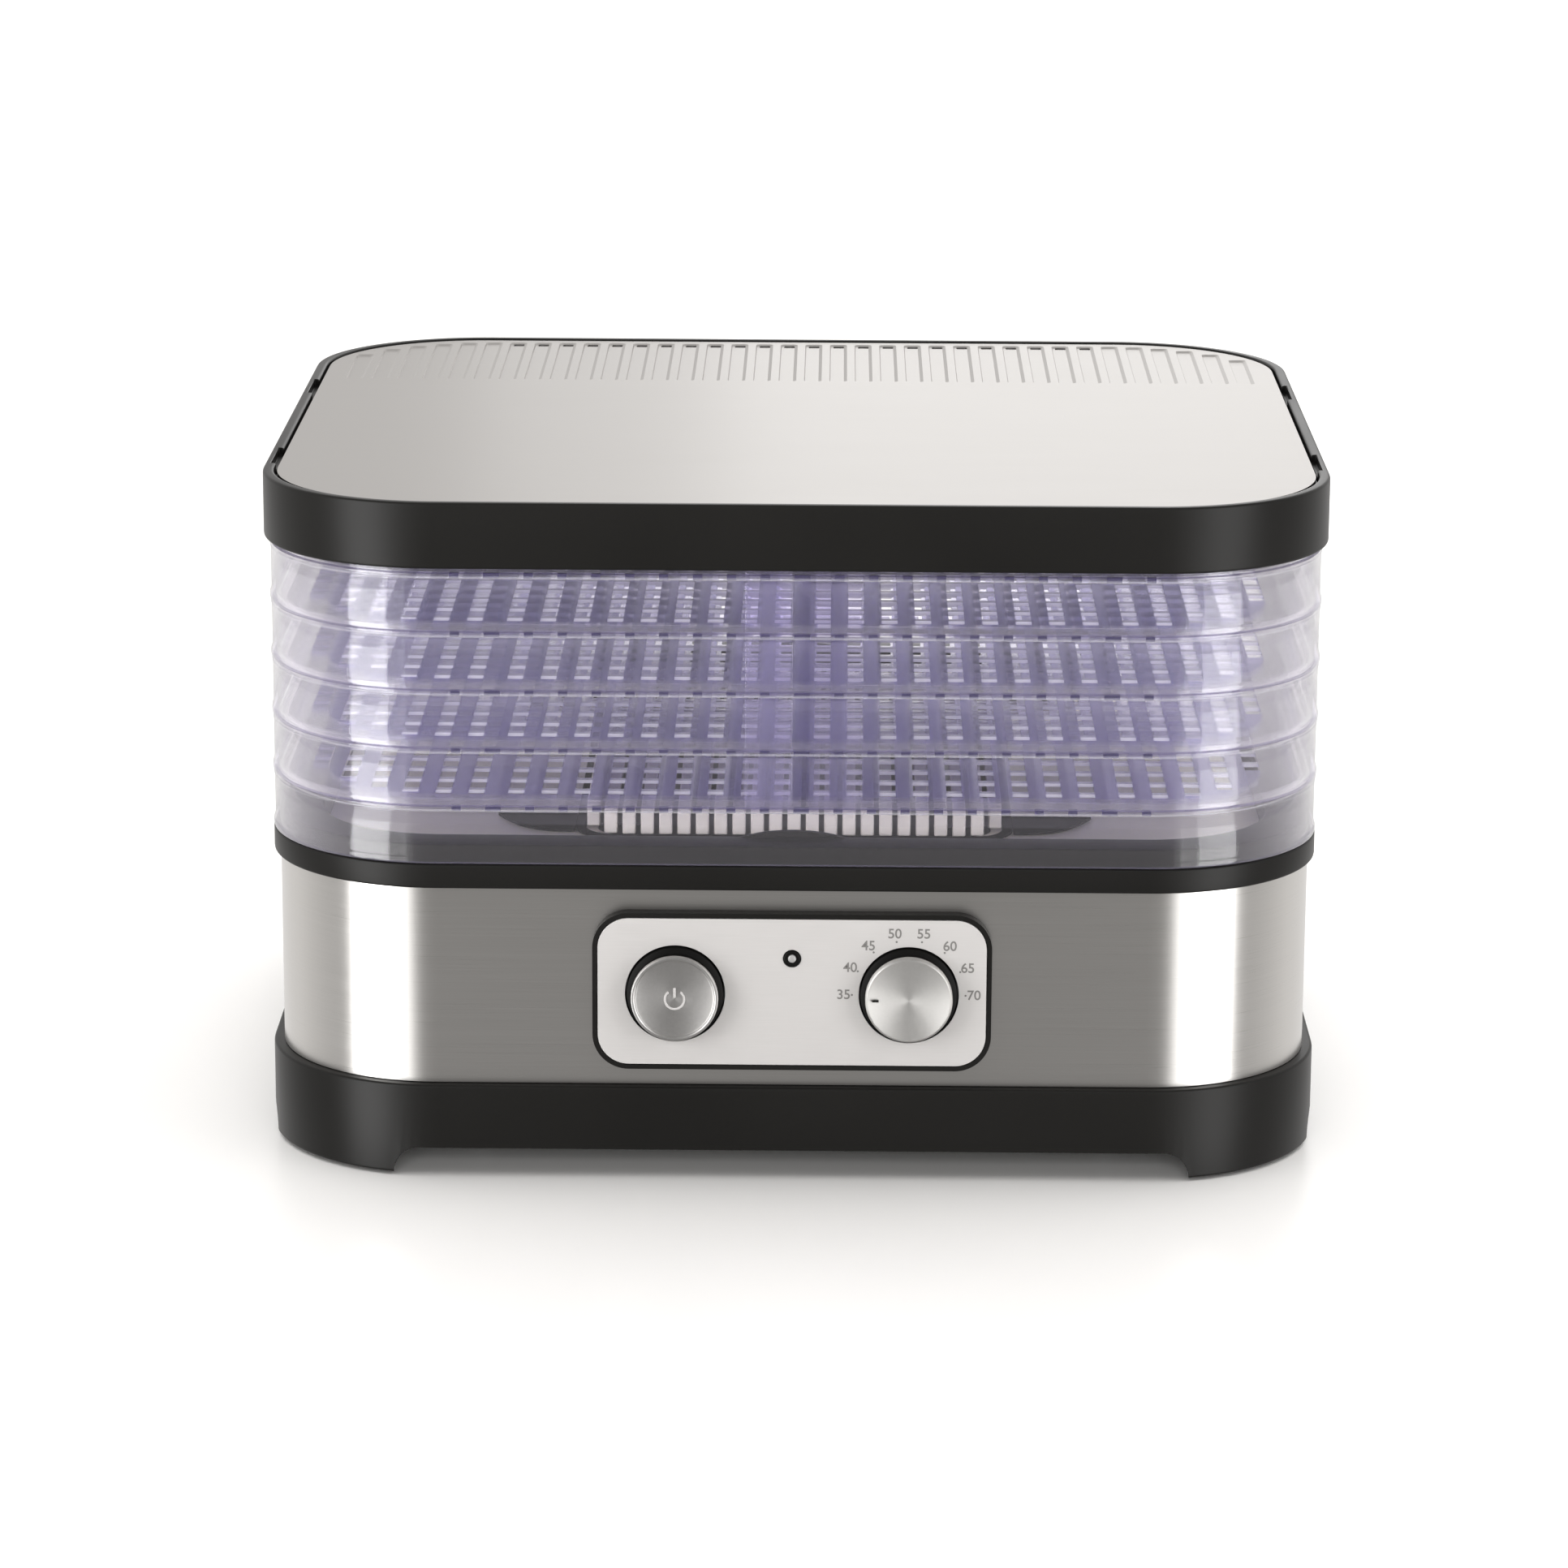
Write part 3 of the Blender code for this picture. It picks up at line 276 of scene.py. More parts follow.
class Shader:
    """A material whose Principled node is set by name, with helpers for what feeds it."""

    def __init__(self, name, **values):
        self.material = bpy.data.materials.new(name)
        self.material.use_nodes = True
        self.tree = self.material.node_tree
        self.nodes = self.tree.nodes
        self.principled = self.nodes["Principled BSDF"]
        for key, value in values.items():
            label = key.replace("_", " ").title().replace("Ior", "IOR")
            socket = self.principled.inputs[label]
            socket.default_value = (*value, 1.0) if isinstance(value, tuple) else value

    def add(self, kind, **settings):
        node = self.nodes.new("ShaderNode" + kind)
        for key, value in settings.items():
            setattr(node, key, value)
        return node

    def link(self, source, target):
        self.tree.links.new(source, target)

    def noise(self, scale, stretch=(1.0, 1.0, 1.0), detail=2.0, roughness=0.5):
        """Noise over the piece's own coordinates, in cycles per metre, stretched by axis."""
        place = self.add("TexCoord")
        mapping = self.add("Mapping")
        mapping.inputs["Scale"].default_value = [scale * s for s in stretch]
        texture = self.add("TexNoise")
        texture.inputs["Scale"].default_value = 1.0
        texture.inputs["Detail"].default_value = detail
        texture.inputs["Roughness"].default_value = roughness
        self.link(place.outputs["Object"], mapping.inputs["Vector"])
        self.link(mapping.outputs["Vector"], texture.inputs["Vector"])
        return texture.outputs["Fac"]

    def spread(self, source, low, high, target):
        """Map a 0..1 source to low..high and feed a socket with it."""
        mapped = self.add("MapRange")
        mapped.inputs["From Min"].default_value = 0.3
        mapped.inputs["From Max"].default_value = 0.7
        mapped.inputs["To Min"].default_value = low
        mapped.inputs["To Max"].default_value = high
        self.link(source, mapped.inputs["Value"])
        self.link(mapped.outputs["Result"], target)

    def tint(self, source, first, second):
        """Vary the base colour between two colours."""
        mix = self.add("Mix", data_type="RGBA")
        mix.inputs["A"].default_value = (*first, 1.0)
        mix.inputs["B"].default_value = (*second, 1.0)
        self.spread(source, 0.0, 1.0, mix.inputs["Factor"])
        self.link(mix.outputs["Result"], self.principled.inputs["Base Color"])

    def vary_roughness(self, source, roughness):
        self.spread(source, roughness - 0.03, roughness + 0.04, self.principled.inputs["Roughness"])

    def bump(self, source, height, strength=1.0):
        node = self.add("Bump")
        node.inputs["Strength"].default_value = strength
        node.inputs["Distance"].default_value = height
        self.link(source, node.inputs["Height"])
        self.link(node.outputs["Normal"], self.principled.inputs["Normal"])


def moulded_plastic(name, colour, roughness, grain=2600.0, depth=0.000012, specular=0.5):
    shader = Shader(name, base_color=colour, roughness=roughness, specular_ior_level=specular)
    lighter = tuple(channel * 1.18 for channel in colour)
    shader.tint(shader.noise(14.0), colour, lighter)
    shader.vary_roughness(shader.noise(9.0), roughness)
    shader.bump(shader.noise(grain, detail=1.0), depth, 0.6)
    return shader.material


def brushed_metal(name, colour, roughness, along, tangent=None, anisotropy=0.75):
    """Fine lines along one axis; along is the noise's stretch, small on the axis the lines follow."""
    shader = Shader(name, base_color=colour, roughness=roughness, metallic=1.0)
    shader.principled.inputs["Anisotropic"].default_value = anisotropy
    if tangent is None:
        around = shader.add("Tangent", direction_type="RADIAL", axis="Z")
        shader.principled.inputs["Anisotropic Rotation"].default_value = 0.25
        shader.link(around.outputs["Tangent"], shader.principled.inputs["Tangent"])
    else:
        axis = shader.add("CombineXYZ")
        for socket, value in zip(axis.inputs, tangent):
            socket.default_value = value
        shader.link(axis.outputs["Vector"], shader.principled.inputs["Tangent"])
    lines = shader.noise(1.0, along, detail=3.0, roughness=0.7)
    darker = tuple(channel * 0.93 for channel in colour)
    shader.tint(lines, darker, colour)
    shader.vary_roughness(lines, roughness)
    shader.bump(lines, 0.000004, 0.5)
    return shader.material


def satin_metal(name, colour, roughness, metallic):
    """Lacquered plate: part metal, part pale diffuse, with a faint grain along X."""
    shader = Shader(name, base_color=colour, roughness=roughness, metallic=metallic)
    grain = shader.noise(1.0, (60.0, 2500.0, 2500.0), detail=3.0)
    shader.tint(grain, tuple(channel * 0.96 for channel in colour), colour)
    shader.vary_roughness(grain, roughness)
    shader.bump(grain, 0.000003, 0.4)
    return shader.material


def clear_plastic(name, tint, body, body_share, roughness=0.12, edge_haze=0.0):
    """See-through moulding: a tinted pane, a little milky body that thickens edge-on, and a glossy skin."""
    shader = Shader(name, base_color=body, roughness=roughness, ior=1.49)
    clear = shader.add("BsdfTransparent")
    clear.inputs["Color"].default_value = (*tint, 1.0)
    gloss = shader.add("BsdfGlossy")
    gloss.inputs["Roughness"].default_value = roughness
    inner = shader.add("MixShader")
    inner.inputs["Fac"].default_value = body_share
    outer = shader.add("MixShader")
    facing = shader.add("LayerWeight")
    facing.inputs["Blend"].default_value = 0.5
    grazing = shader.add("Math", operation="POWER")
    grazing.inputs[1].default_value = 3.6
    if edge_haze:
        haze = shader.add("MapRange")
        haze.inputs["To Min"].default_value = body_share
        haze.inputs["To Max"].default_value = body_share + edge_haze
        shader.link(facing.outputs["Facing"], haze.inputs["Value"])
        shader.link(haze.outputs["Result"], inner.inputs["Fac"])
    reflection = shader.add("MapRange")
    reflection.inputs["To Min"].default_value = 0.026
    reflection.inputs["To Max"].default_value = 0.90
    shader.link(facing.outputs["Facing"], grazing.inputs[0])
    shader.link(grazing.outputs["Value"], reflection.inputs["Value"])
    shader.link(clear.outputs["BSDF"], inner.inputs[1])
    shader.link(shader.principled.outputs["BSDF"], inner.inputs[2])
    shader.link(reflection.outputs["Result"], outer.inputs["Fac"])
    shader.link(inner.outputs["Shader"], outer.inputs[1])
    shader.link(gloss.outputs["BSDF"], outer.inputs[2])
    shader.link(outer.outputs["Shader"], shader.nodes["Material Output"].inputs["Surface"])
    return shader.material


BLACK_PLASTIC = moulded_plastic("black_moulded_plastic", (0.0062, 0.0059, 0.0054), 0.36, specular=0.12)
MATT_BLACK = moulded_plastic("black_matt_plastic", (0.0050, 0.0047, 0.0042), 0.50, specular=0.0)
SOFT_BLACK = moulded_plastic("black_satin_plastic", (0.0030, 0.0028, 0.0026), 0.45, specular=0.06)
LIGHT_PLASTIC = moulded_plastic("light_moulded_plastic", (0.86, 0.81, 0.755), 0.42)
LINES_ROUND_Z = (14.0, 14.0, 5200.0)
LINES_ALONG_X = (14.0, 5200.0, 900.0)
STEEL_BAND = brushed_metal("steel_brushed_round", (0.58, 0.565, 0.545), 0.30, LINES_ROUND_Z)
STEEL_TOP = brushed_metal("steel_brushed_across", (0.455, 0.440, 0.426), 0.34, LINES_ALONG_X, (0.0, 1.0, 0.0))
STEEL_DECK = satin_metal("steel_deck", (0.80, 0.76, 0.64), 0.40, 0.35)
PANEL_SILVER = satin_metal("satin_silver", (0.475, 0.46, 0.45), 0.42, 0.45)
SPUN_METAL = brushed_metal("spun_metal", (0.49, 0.48, 0.465), 0.54, (900.0, 900.0, 900.0), None, 0.42)
# A darker copy of the knob's spun metal for the dished button face: the darkness is painted shade of the
# dish.
DISHED_METAL_SHADED = brushed_metal("dished_metal_painted_shade", (0.42, 0.41, 0.40), 0.40, (900.0, 900.0, 900.0), None, 0.35)
PRINT = moulded_plastic("grey_print", (0.11, 0.105, 0.10), 0.6)
ZINC = brushed_metal("zinc_plate", (0.52, 0.53, 0.54), 0.38, (300.0, 300.0, 900.0), (0.0, 1.0, 0.2), 0.2)
SCUFFED = (300.0, 900.0, 900.0)
DARK_METAL = brushed_metal("dark_metal", (0.13, 0.13, 0.13), 0.42, SCUFFED, (1.0, 0.0, 0.2), 0.2)
RUBBER = moulded_plastic("rubber", (0.028, 0.028, 0.028), 0.75, 1400.0, 0.00003)
MICA = moulded_plastic("mica_board", (0.45, 0.36, 0.24), 0.62, 500.0, 0.00003)
PHENOLIC = moulded_plastic("phenolic", (0.10, 0.065, 0.045), 0.5)
LENS = clear_plastic("frosted_lens", (0.70, 0.70, 0.68), (0.30, 0.295, 0.29), 0.75, 0.22)
TRAY_CLEAR = clear_plastic("clear_wall", (0.982, 0.980, 0.984), (0.84, 0.80, 0.89), 0.010, 0.10, 0.16)
TRAY_STRIP = clear_plastic("clear_violet_strips", (0.79, 0.765, 0.93), (0.42, 0.375, 0.76), 0.24)
# Pale milky body on the rungs: painted highlight on the same clear plastic as the strips.
TRAY_RUNG_HIGHLIGHT = clear_plastic("pale_rungs_painted_highlight", (0.94, 0.93, 0.97), (0.90, 0.885, 0.96), 0.42)
TRAY_PILLAR = clear_plastic("clear_milky_pillars", (0.91, 0.895, 0.96), (0.72, 0.69, 0.90), 0.035)
# Dark, nearly opaque violet for the blocks at the strip ends: painted shade on what is the same clear
# plastic.
TRAY_END_SHADE = clear_plastic("violet_end_shade", (0.06, 0.045, 0.16), (0.030, 0.022, 0.09), 0.85)
# Paler, milkier plastic on the bead: a painted highlight line.
TRAY_BEAD_HIGHLIGHT = clear_plastic("pale_bead_highlight", (0.96, 0.955, 0.975), (0.90, 0.885, 0.95), 0.12)
# Darker violet on the level faces where trays meet: painted shade in the gap between trays.
TRAY_SEAM_SHADE = clear_plastic("violet_seam_shade", (0.74, 0.71, 0.83), (0.26, 0.23, 0.42), 0.20)

SLOT_MATERIALS = {
    "black_plastic": BLACK_PLASTIC,
    "brushed_steel": STEEL_BAND,
    "panel_plate": PANEL_SILVER,
    "spun_aluminium": PANEL_SILVER,
    "clear_plastic": TRAY_CLEAR,
    "light_plastic": LIGHT_PLASTIC,
    "dark_metal": DARK_METAL,
    "zinc_steel": ZINC,
    "rubber": RUBBER,
    "mica": MICA,
    "phenolic": PHENOLIC,
    "lens": LENS,
}
for subpart in frame["record"]["subparts"]:
    for material_slot in NODES[subpart["node"]].material_slots:
        material_slot.material = SLOT_MATERIALS[subpart["material_slot"]]


# ---------------------------------------------------------------- camera and studio


def place_camera():
    target = Vector((-0.0050, 0.0, 0.1080))
    distance = 2.1974
    azimuth = math.radians(0.544)
    elevation = math.radians(14.51)
    roll = math.radians(0.302)
    level = math.cos(elevation)
    backward = Vector((math.sin(azimuth) * level, -math.cos(azimuth) * level, math.sin(elevation)))
    turn = backward.to_track_quat("Z", "Y").to_matrix() @ Matrix.Rotation(roll, 3, "Z")
    data = bpy.data.cameras.new("camera")
    data.lens = 125.8
    data.sensor_width = 36.0
    camera = bpy.data.objects.new("camera", data)
    camera.matrix_world = Matrix.Translation(target + distance * backward) @ turn.to_4x4()
    bpy.context.scene.collection.objects.link(camera)
    bpy.context.scene.camera = camera


def softbox(name, size, radiance, place, aim, mirrored=True):
    """A rectangular lamp of a given brightness that the camera itself doesn't see."""
    data = bpy.data.lights.new(name, "AREA")
    data.shape = "RECTANGLE"
    data.size, data.size_y = size
    data.energy = radiance * math.pi * size[0] * size[1]
    lamp = bpy.data.objects.new(name, data)
    lamp.location = place
    lamp.rotation_euler = (Vector(aim) - Vector(place)).to_track_quat("-Z", "Y").to_euler()
    lamp.visible_camera = False
    lamp.visible_glossy = mirrored
    bpy.context.scene.collection.objects.link(lamp)
    return lamp


def light_studio(floor):
    """Tall side softboxes that leave the floor alone, a front fill, a wide overhead and pale back panels."""
    lit_by_sides = bpy.data.collections.new("lit_by_sides")
    lit_by_sides.objects.link(floor)
    lit_by_sides.collection_objects[0].light_linking.link_state = "EXCLUDE"
    aim = (0.0, 0.0, 0.10)
    distance = 1.5
    for side in (-1, 1):
        strips = ((48.5, 0.64, 8.8 - 1.8 * side), (31.0, 0.26, 2.2), (25.5, 0.16, 0.8))
        for degrees, width, radiance in strips:
            angle = math.radians(degrees)
            place = (side * distance * math.sin(angle), -distance * math.cos(angle), 0.10)
            lamp = softbox(f"softbox_{side}_{degrees}", (width, 1.7), radiance, place, aim)
            lamp.light_linking.receiver_collection = lit_by_sides
    softbox("front_fill", (2.0, 0.8), 5.2, (0.0, -2.6, 0.9), (0.0, 0.0, 0.0), mirrored=False)
    softbox("overhead", (12.0, 12.0), 0.95, (0.0, 3.0, 4.0), (0.0, 3.0, 0.0), mirrored=False)
    softbox("back_panel", (0.62, 1.4), 0.7, (0.22, 2.2, 0.90), (0.0, 0.0, 0.257))
    softbox("back_panel_wide", (0.98, 1.4), 0.6, (0.20, 2.25, 0.90), (0.0, 0.0, 0.257))


def make_world():
    """White to the camera; a pale studio that brightens towards the back to everything else."""
    world = bpy.data.worlds.new("studio")
    world.use_nodes = True
    tree = world.node_tree
    background = tree.nodes["Background"]
    seen = tree.nodes.new("ShaderNodeBackground")
    seen.inputs["Color"].default_value = (1.0, 1.0, 1.0, 1.0)
    seen.inputs["Strength"].default_value = 1.0
    direction = tree.nodes.new("ShaderNodeTexCoord")
    split = tree.nodes.new("ShaderNodeSeparateXYZ")
    shade = tree.nodes.new("ShaderNodeMapRange")
    shade.inputs["From Min"].default_value = -0.7
    shade.inputs["From Max"].default_value = 0.5
    shade.inputs["To Min"].default_value = 0.36
    shade.inputs["To Max"].default_value = 1.0
    path = tree.nodes.new("ShaderNodeLightPath")
    mix = tree.nodes.new("ShaderNodeMixShader")
    tree.links.new(direction.outputs["Generated"], split.inputs["Vector"])
    tree.links.new(split.outputs["Y"], shade.inputs["Value"])
    tree.links.new(shade.outputs["Result"], background.inputs["Strength"])
    background.inputs["Color"].default_value = (1.0, 0.985, 0.97, 1.0)
    tree.links.new(path.outputs["Is Camera Ray"], mix.inputs["Fac"])
    tree.links.new(background.outputs["Background"], mix.inputs[1])
    tree.links.new(seen.outputs["Background"], mix.inputs[2])
    tree.links.new(mix.outputs["Shader"], tree.nodes["World Output"].inputs["Surface"])
    bpy.context.scene.world = world


def lay_floor():
    shader = Shader("pale_floor", base_color=(0.91, 0.90, 0.885), roughness=0.34, specular_ior_level=0.28)
    shader.spread(shader.noise(6.0), 0.32, 0.38, shader.principled.inputs["Roughness"])
    floor = new_piece("floor", flat_mesh("floor", [rectangle(6.0, 6.0)], -0.02, 0.0))
    floor.data.materials.append(shader.material)
    floor.visible_glossy = False
    return floor


def set_picture():
    scene = bpy.context.scene
    scene.view_settings.view_transform = "Standard"
    scene.view_settings.look = "None"
    scene.cycles.transparent_max_bounces = 64
    scene.cycles.max_bounces = 16


# ---------------------------------------------------------------- base


SHELL_BOTTOM = 0.0012
SHELL_LIP = 0.010
SHELL_WALL = 0.003
THIN_WALL = 0.0025
FOOT_LENGTH = 0.051
ARCH_HEIGHT = 0.0115
BASE_INSET = 0.0005
FLOOR_LOW = 0.0125
FLOOR_HIGH = 0.0150
INTAKE_RADIUS = 0.058
WRAP_INSET = 0.0044
COLLAR_INSET = 0.0019
DECK_BORDER = 0.0210
LEDGE_WIDTH = 0.009
BORDER_RISE = 0.0068
RIB_HALF_WIDTH = 0.0195


def make_base_shell():
    """The black base: a shell with an arch in each side, its floor with the intake, and the feet's bosses."""
    top = WRAP_BOTTOM - GAP
    shelf = WRAP_INSET + 0.0016
    section = rounded_section(
        [
            (BASE_INSET, SHELL_BOTTOM),
            (BASE_INSET, top),
            (shelf, top),
            (shelf, top + SHELL_LIP),
            (shelf + THIN_WALL, top + SHELL_LIP),
            (shelf + THIN_WALL, top - THIN_WALL),
            (BASE_INSET + SHELL_WALL, top - THIN_WALL),
            (BASE_INSET + SHELL_WALL, SHELL_BOTTOM),
        ],
        0.0011,
    )
    shell = new_piece("base_shell", ring_mesh("base_shell", section))
    front = rounded_rectangle(HALF_WIDTH - FOOT_LENGTH, ARCH_HEIGHT, 0.010, 10)
    side = rounded_rectangle(HALF_DEPTH - FOOT_LENGTH, ARCH_HEIGHT, 0.010, 10)
    cut(shell, flat_mesh("front_arch", [front], -0.2, 0.2), Matrix.Rotation(RIGHT_ANGLE, 4, "X"))
    turn = Matrix.Rotation(RIGHT_ANGLE, 4, "Z") @ Matrix.Rotation(RIGHT_ANGLE, 4, "X")
    cut(shell, flat_mesh("side_arch", [side], -0.25, 0.25), turn)
    soften(shell, 0.0005)
    dress(shell, BLACK_PLASTIC, "base", "black_plastic", "bottom_housing")
    floor_outline = casing_outline(BASE_INSET + 0.0033)
    intake = circle(INTAKE_RADIUS, 64)
    pan = new_piece("base_pan", flat_mesh("base_pan", [floor_outline, intake], FLOOR_LOW, FLOOR_HIGH))
    dress(soften(pan, 0.0004), BLACK_PLASTIC, "base", "black_plastic")
    for number in range(1, 5):
        low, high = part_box(f"foot_pad_{number}")
        place = ((low.x + high.x) / 2, (low.y + high.y) / 2)
        under_pan = FLOOR_LOW - GAP
        over_pad = high.z + GAP
        profile = [(0.0, under_pan), (0.0090, under_pan), (0.0086, over_pad), (0.0, over_pad)]
        boss = new_piece(f"foot_boss_{number}", turned_mesh("foot_boss", profile, 32))
        boss.location = (*place, 0.0)
        dress(soften(boss, 0.0003), BLACK_PLASTIC, "base", "black_plastic")


def make_steel_band():
    """The steel band, with a window behind the control panel."""
    section = [
        (WRAP_INSET, WRAP_BOTTOM),
        (WRAP_INSET, WRAP_TOP),
        (WRAP_INSET + 0.001, WRAP_TOP),
        (WRAP_INSET + 0.001, WRAP_BOTTOM),
    ]
    band = new_piece("steel_band", ring_mesh("steel_band", section))
    middle = (PANEL_LOW.z + PANEL_HIGH.z) / 2
    cut(band, block_mesh("window", [((0.138, 0.020, 0.050), (0.0, -HALF_DEPTH, middle))]))
    dress(band, STEEL_BAND, "base", "brushed_steel", "steel_wrap")


def make_collar():
    """The black collar that the trays stand on, its inner border and ledge, and a low rib front and back."""
    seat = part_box("tray_1")[0].z - GAP
    border_top = seat + BORDER_RISE
    ledge_top = DECK_BOTTOM - GAP
    bottom = WRAP_TOP + GAP
    section = rounded_section(
        [
            (COLLAR_INSET, bottom),
            (COLLAR_INSET, seat),
            (0.0046, seat),
            (0.0052, border_top),
            (DECK_BORDER, border_top),
            (DECK_BORDER, ledge_top),
            (DECK_BORDER + LEDGE_WIDTH, ledge_top),
            (DECK_BORDER + LEDGE_WIDTH, ledge_top - THIN_WALL),
            (DECK_BORDER - 0.0024, ledge_top - THIN_WALL),
            (DECK_BORDER - 0.0024, border_top - THIN_WALL),
            (0.0085, border_top - THIN_WALL),
            (0.0085, bottom - 0.012),
            (0.0060, bottom - 0.012),
            (0.0060, bottom),
        ],
        0.0009,
    )
    collar = new_piece("collar", ring_mesh("collar", section))
    dress(collar, BLACK_PLASTIC, "base", "black_plastic", "upper_housing")
    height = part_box("upper_housing")[1].z - border_top
    radius = (RIB_HALF_WIDTH**2 + height**2) / (2 * height)
    half_angle = math.degrees(math.asin(RIB_HALF_WIDTH / radius))
    outline = arc(0.0, height - radius, radius, 90 - half_angle, 90 + half_angle, 32)
    shape = flat_mesh("locating_rib", [outline], -0.0010, 0.0010)
    reach = HALF_DEPTH - DECK_BORDER + 0.0012
    for side, word in ((-1, "front"), (1, "back")):
        rib = new_piece(f"locating_rib_{word}", shape.copy())
        rib.matrix_world = out_of_front(0.0, side * reach, border_top)
        dress(soften(rib, 0.0004), BLACK_PLASTIC, "base", "black_plastic")


def make_deck():
    """The deck, with a window that the outlet's bars stand in."""
    window = rounded_rectangle(GRILLE_HIGH.x - 0.004, GRILLE_HIGH.y - 0.004, 0.010, 8)
    outlines = [casing_outline(DECK_BORDER + GAP), window]
    deck = new_piece("deck_panel", flat_mesh("deck_panel", outlines, DECK_BOTTOM, DECK_TOP))
    dress(soften(deck, 0.0002), STEEL_DECK, "base", "brushed_steel", "deck_plate")


# Reach of the dark matt patches beside the outlet, which are painted shade on the deck.
SHADE_PATCH_FRONT = 0.1140
SHADE_PATCH_BACK = 0.0900
SHADE_PATCH_STEPS = 20


def make_outlet():
    """The light grille of bars, with corners as round as its flange, and four dark matt patches beside the
    flange that are painted shade on the deck.
    """
    half_x = GRILLE_HIGH.x
    half_y = GRILLE_HIGH.y
    bottom, top = GRILLE_LOW.z, GRILLE_HIGH.z
    bars = 23
    width = 0.0050
    thick = 0.0028
    corner = 0.012
    pitch = (2 * half_x - width) / (bars - 1)
    pieces = []
    for index in range(bars):
        x = (index - (bars - 1) / 2) * pitch
        past = max(0.0, abs(x) + width / 2 - (half_x - corner))
        reach = half_y - corner + math.sqrt(max(0.0, corner**2 - past**2))
        pieces.append(((width, 2 * reach - 0.004, thick), (x, 0.0, top - thick / 2)))
        leg = (width, thick, top - bottom - 0.0016)
        for side in (-1, 1):
            pieces.append((leg, (x, side * (reach - thick / 2), (top + bottom) / 2)))
    grille = new_piece("outlet_bars", block_mesh("outlet_bars", pieces))
    dress(soften(grille, 0.0006), LIGHT_PLASTIC, "base", "light_plastic", "outlet_grille")
    outer = rounded_rectangle(half_x + 0.0043, half_y + 0.0043, 0.016, 10)
    inner = rounded_rectangle(half_x + GAP, half_y + GAP, 0.012, 10)
    tip, _, frame_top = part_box("outlet_surround")[1]
    flange = new_piece("outlet_flange", flat_mesh("outlet_flange", [outer, inner], bottom, frame_top))
    dress(soften(flange, 0.0003), MATT_BLACK, "base", "black_plastic", "outlet_surround")
    # Four dark matt tapering patches, one beside each corner of the flange: painted shade on the deck.
    root = half_x + 0.0044
    for side_x in (-1, 1):
        for side_y in (-1, 1):
            outline = [(side_x * root, side_y * SHADE_PATCH_BACK)]
            for step in range(SHADE_PATCH_STEPS + 1):
                share = step / SHADE_PATCH_STEPS
                y = SHADE_PATCH_FRONT - (SHADE_PATCH_FRONT - SHADE_PATCH_BACK) * share**3
                outline.append((side_x * (root + (tip - root) * share), side_y * y))
            shape = flat_mesh("wing", [outline], bottom, frame_top)
            wing = new_piece(f"outlet_wing_{side_x}_{side_y}", shape)
            dress(soften(wing, 0.0002), MATT_BLACK, "base", "black_plastic")


# ---------------------------------------------------------------- trays


LIP_INSET = 0.0019
WALL_INSET = 0.0025
WALL_THICKNESS = 0.0016
RIM_INSET = 0.0044
RIM_END = 0.0060
RIM_HEIGHT = 0.0026
LEDGE_END = 0.0085
LEDGE_THICKNESS = 0.0012
BEAD_LOW = TRAY_PITCH - 0.0018
BEAD_HIGH = TRAY_PITCH - 0.0009
MESH_TOP = TRAY_PITCH - 0.0005
MESH_THICKNESS = 0.0020
LEDGE_TOP = MESH_TOP - MESH_THICKNESS - GAP
COLUMN_PITCH = 0.0124
STRIP_WIDTH = 0.0066
MESH_SHIFT = 0.0030
FIELD_INSET = 0.0230
PANEL_COLUMNS = 9
PANEL_GAP = 0.0024
RUNG_PITCH = 0.0160
RUNG_WIDTH = 0.0034
RUNG_THICKNESS = 0.0012
SHADE_BLOCK_INSET = 0.0072
SHADE_BLOCK_SIZE = (0.0014, 0.0021)
RIBBED_PILLAR_X = 0.0154
RIBBED_PILLAR_WIDTH = 0.0190
PLAIN_PILLAR_X = -0.0092
PLAIN_PILLAR_WIDTH = 0.0182
PILLAR_Y = HALF_DEPTH - 0.0120
PILLAR_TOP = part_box("tray_1")[1].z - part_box("tray_1")[0].z + GAP


def column_places():
    """Middle of each open column of the mesh, in panels that a wider strip divides."""
    places = []
    half = COLUMN_PITCH * PANEL_COLUMNS + PANEL_GAP
    for panel in (-2, -1, 0, 1):
        start = MESH_SHIFT + panel * half + PANEL_GAP / 2
        for column in range(PANEL_COLUMNS):
            places.append(start + (column + 0.5) * COLUMN_PITCH)
    return [x for x in places if abs(x) < HALF_WIDTH - 0.016]


def reach_at(x, inset):
    """How far from the middle the casing outline, moved in by inset, reaches in Y at x."""
    radius = CORNER_RADIUS - inset
    past = max(0.0, abs(x) - (HALF_WIDTH - CORNER_RADIUS))
    return HALF_DEPTH - CORNER_RADIUS + math.sqrt(max(0.0, radius**2 - past**2))


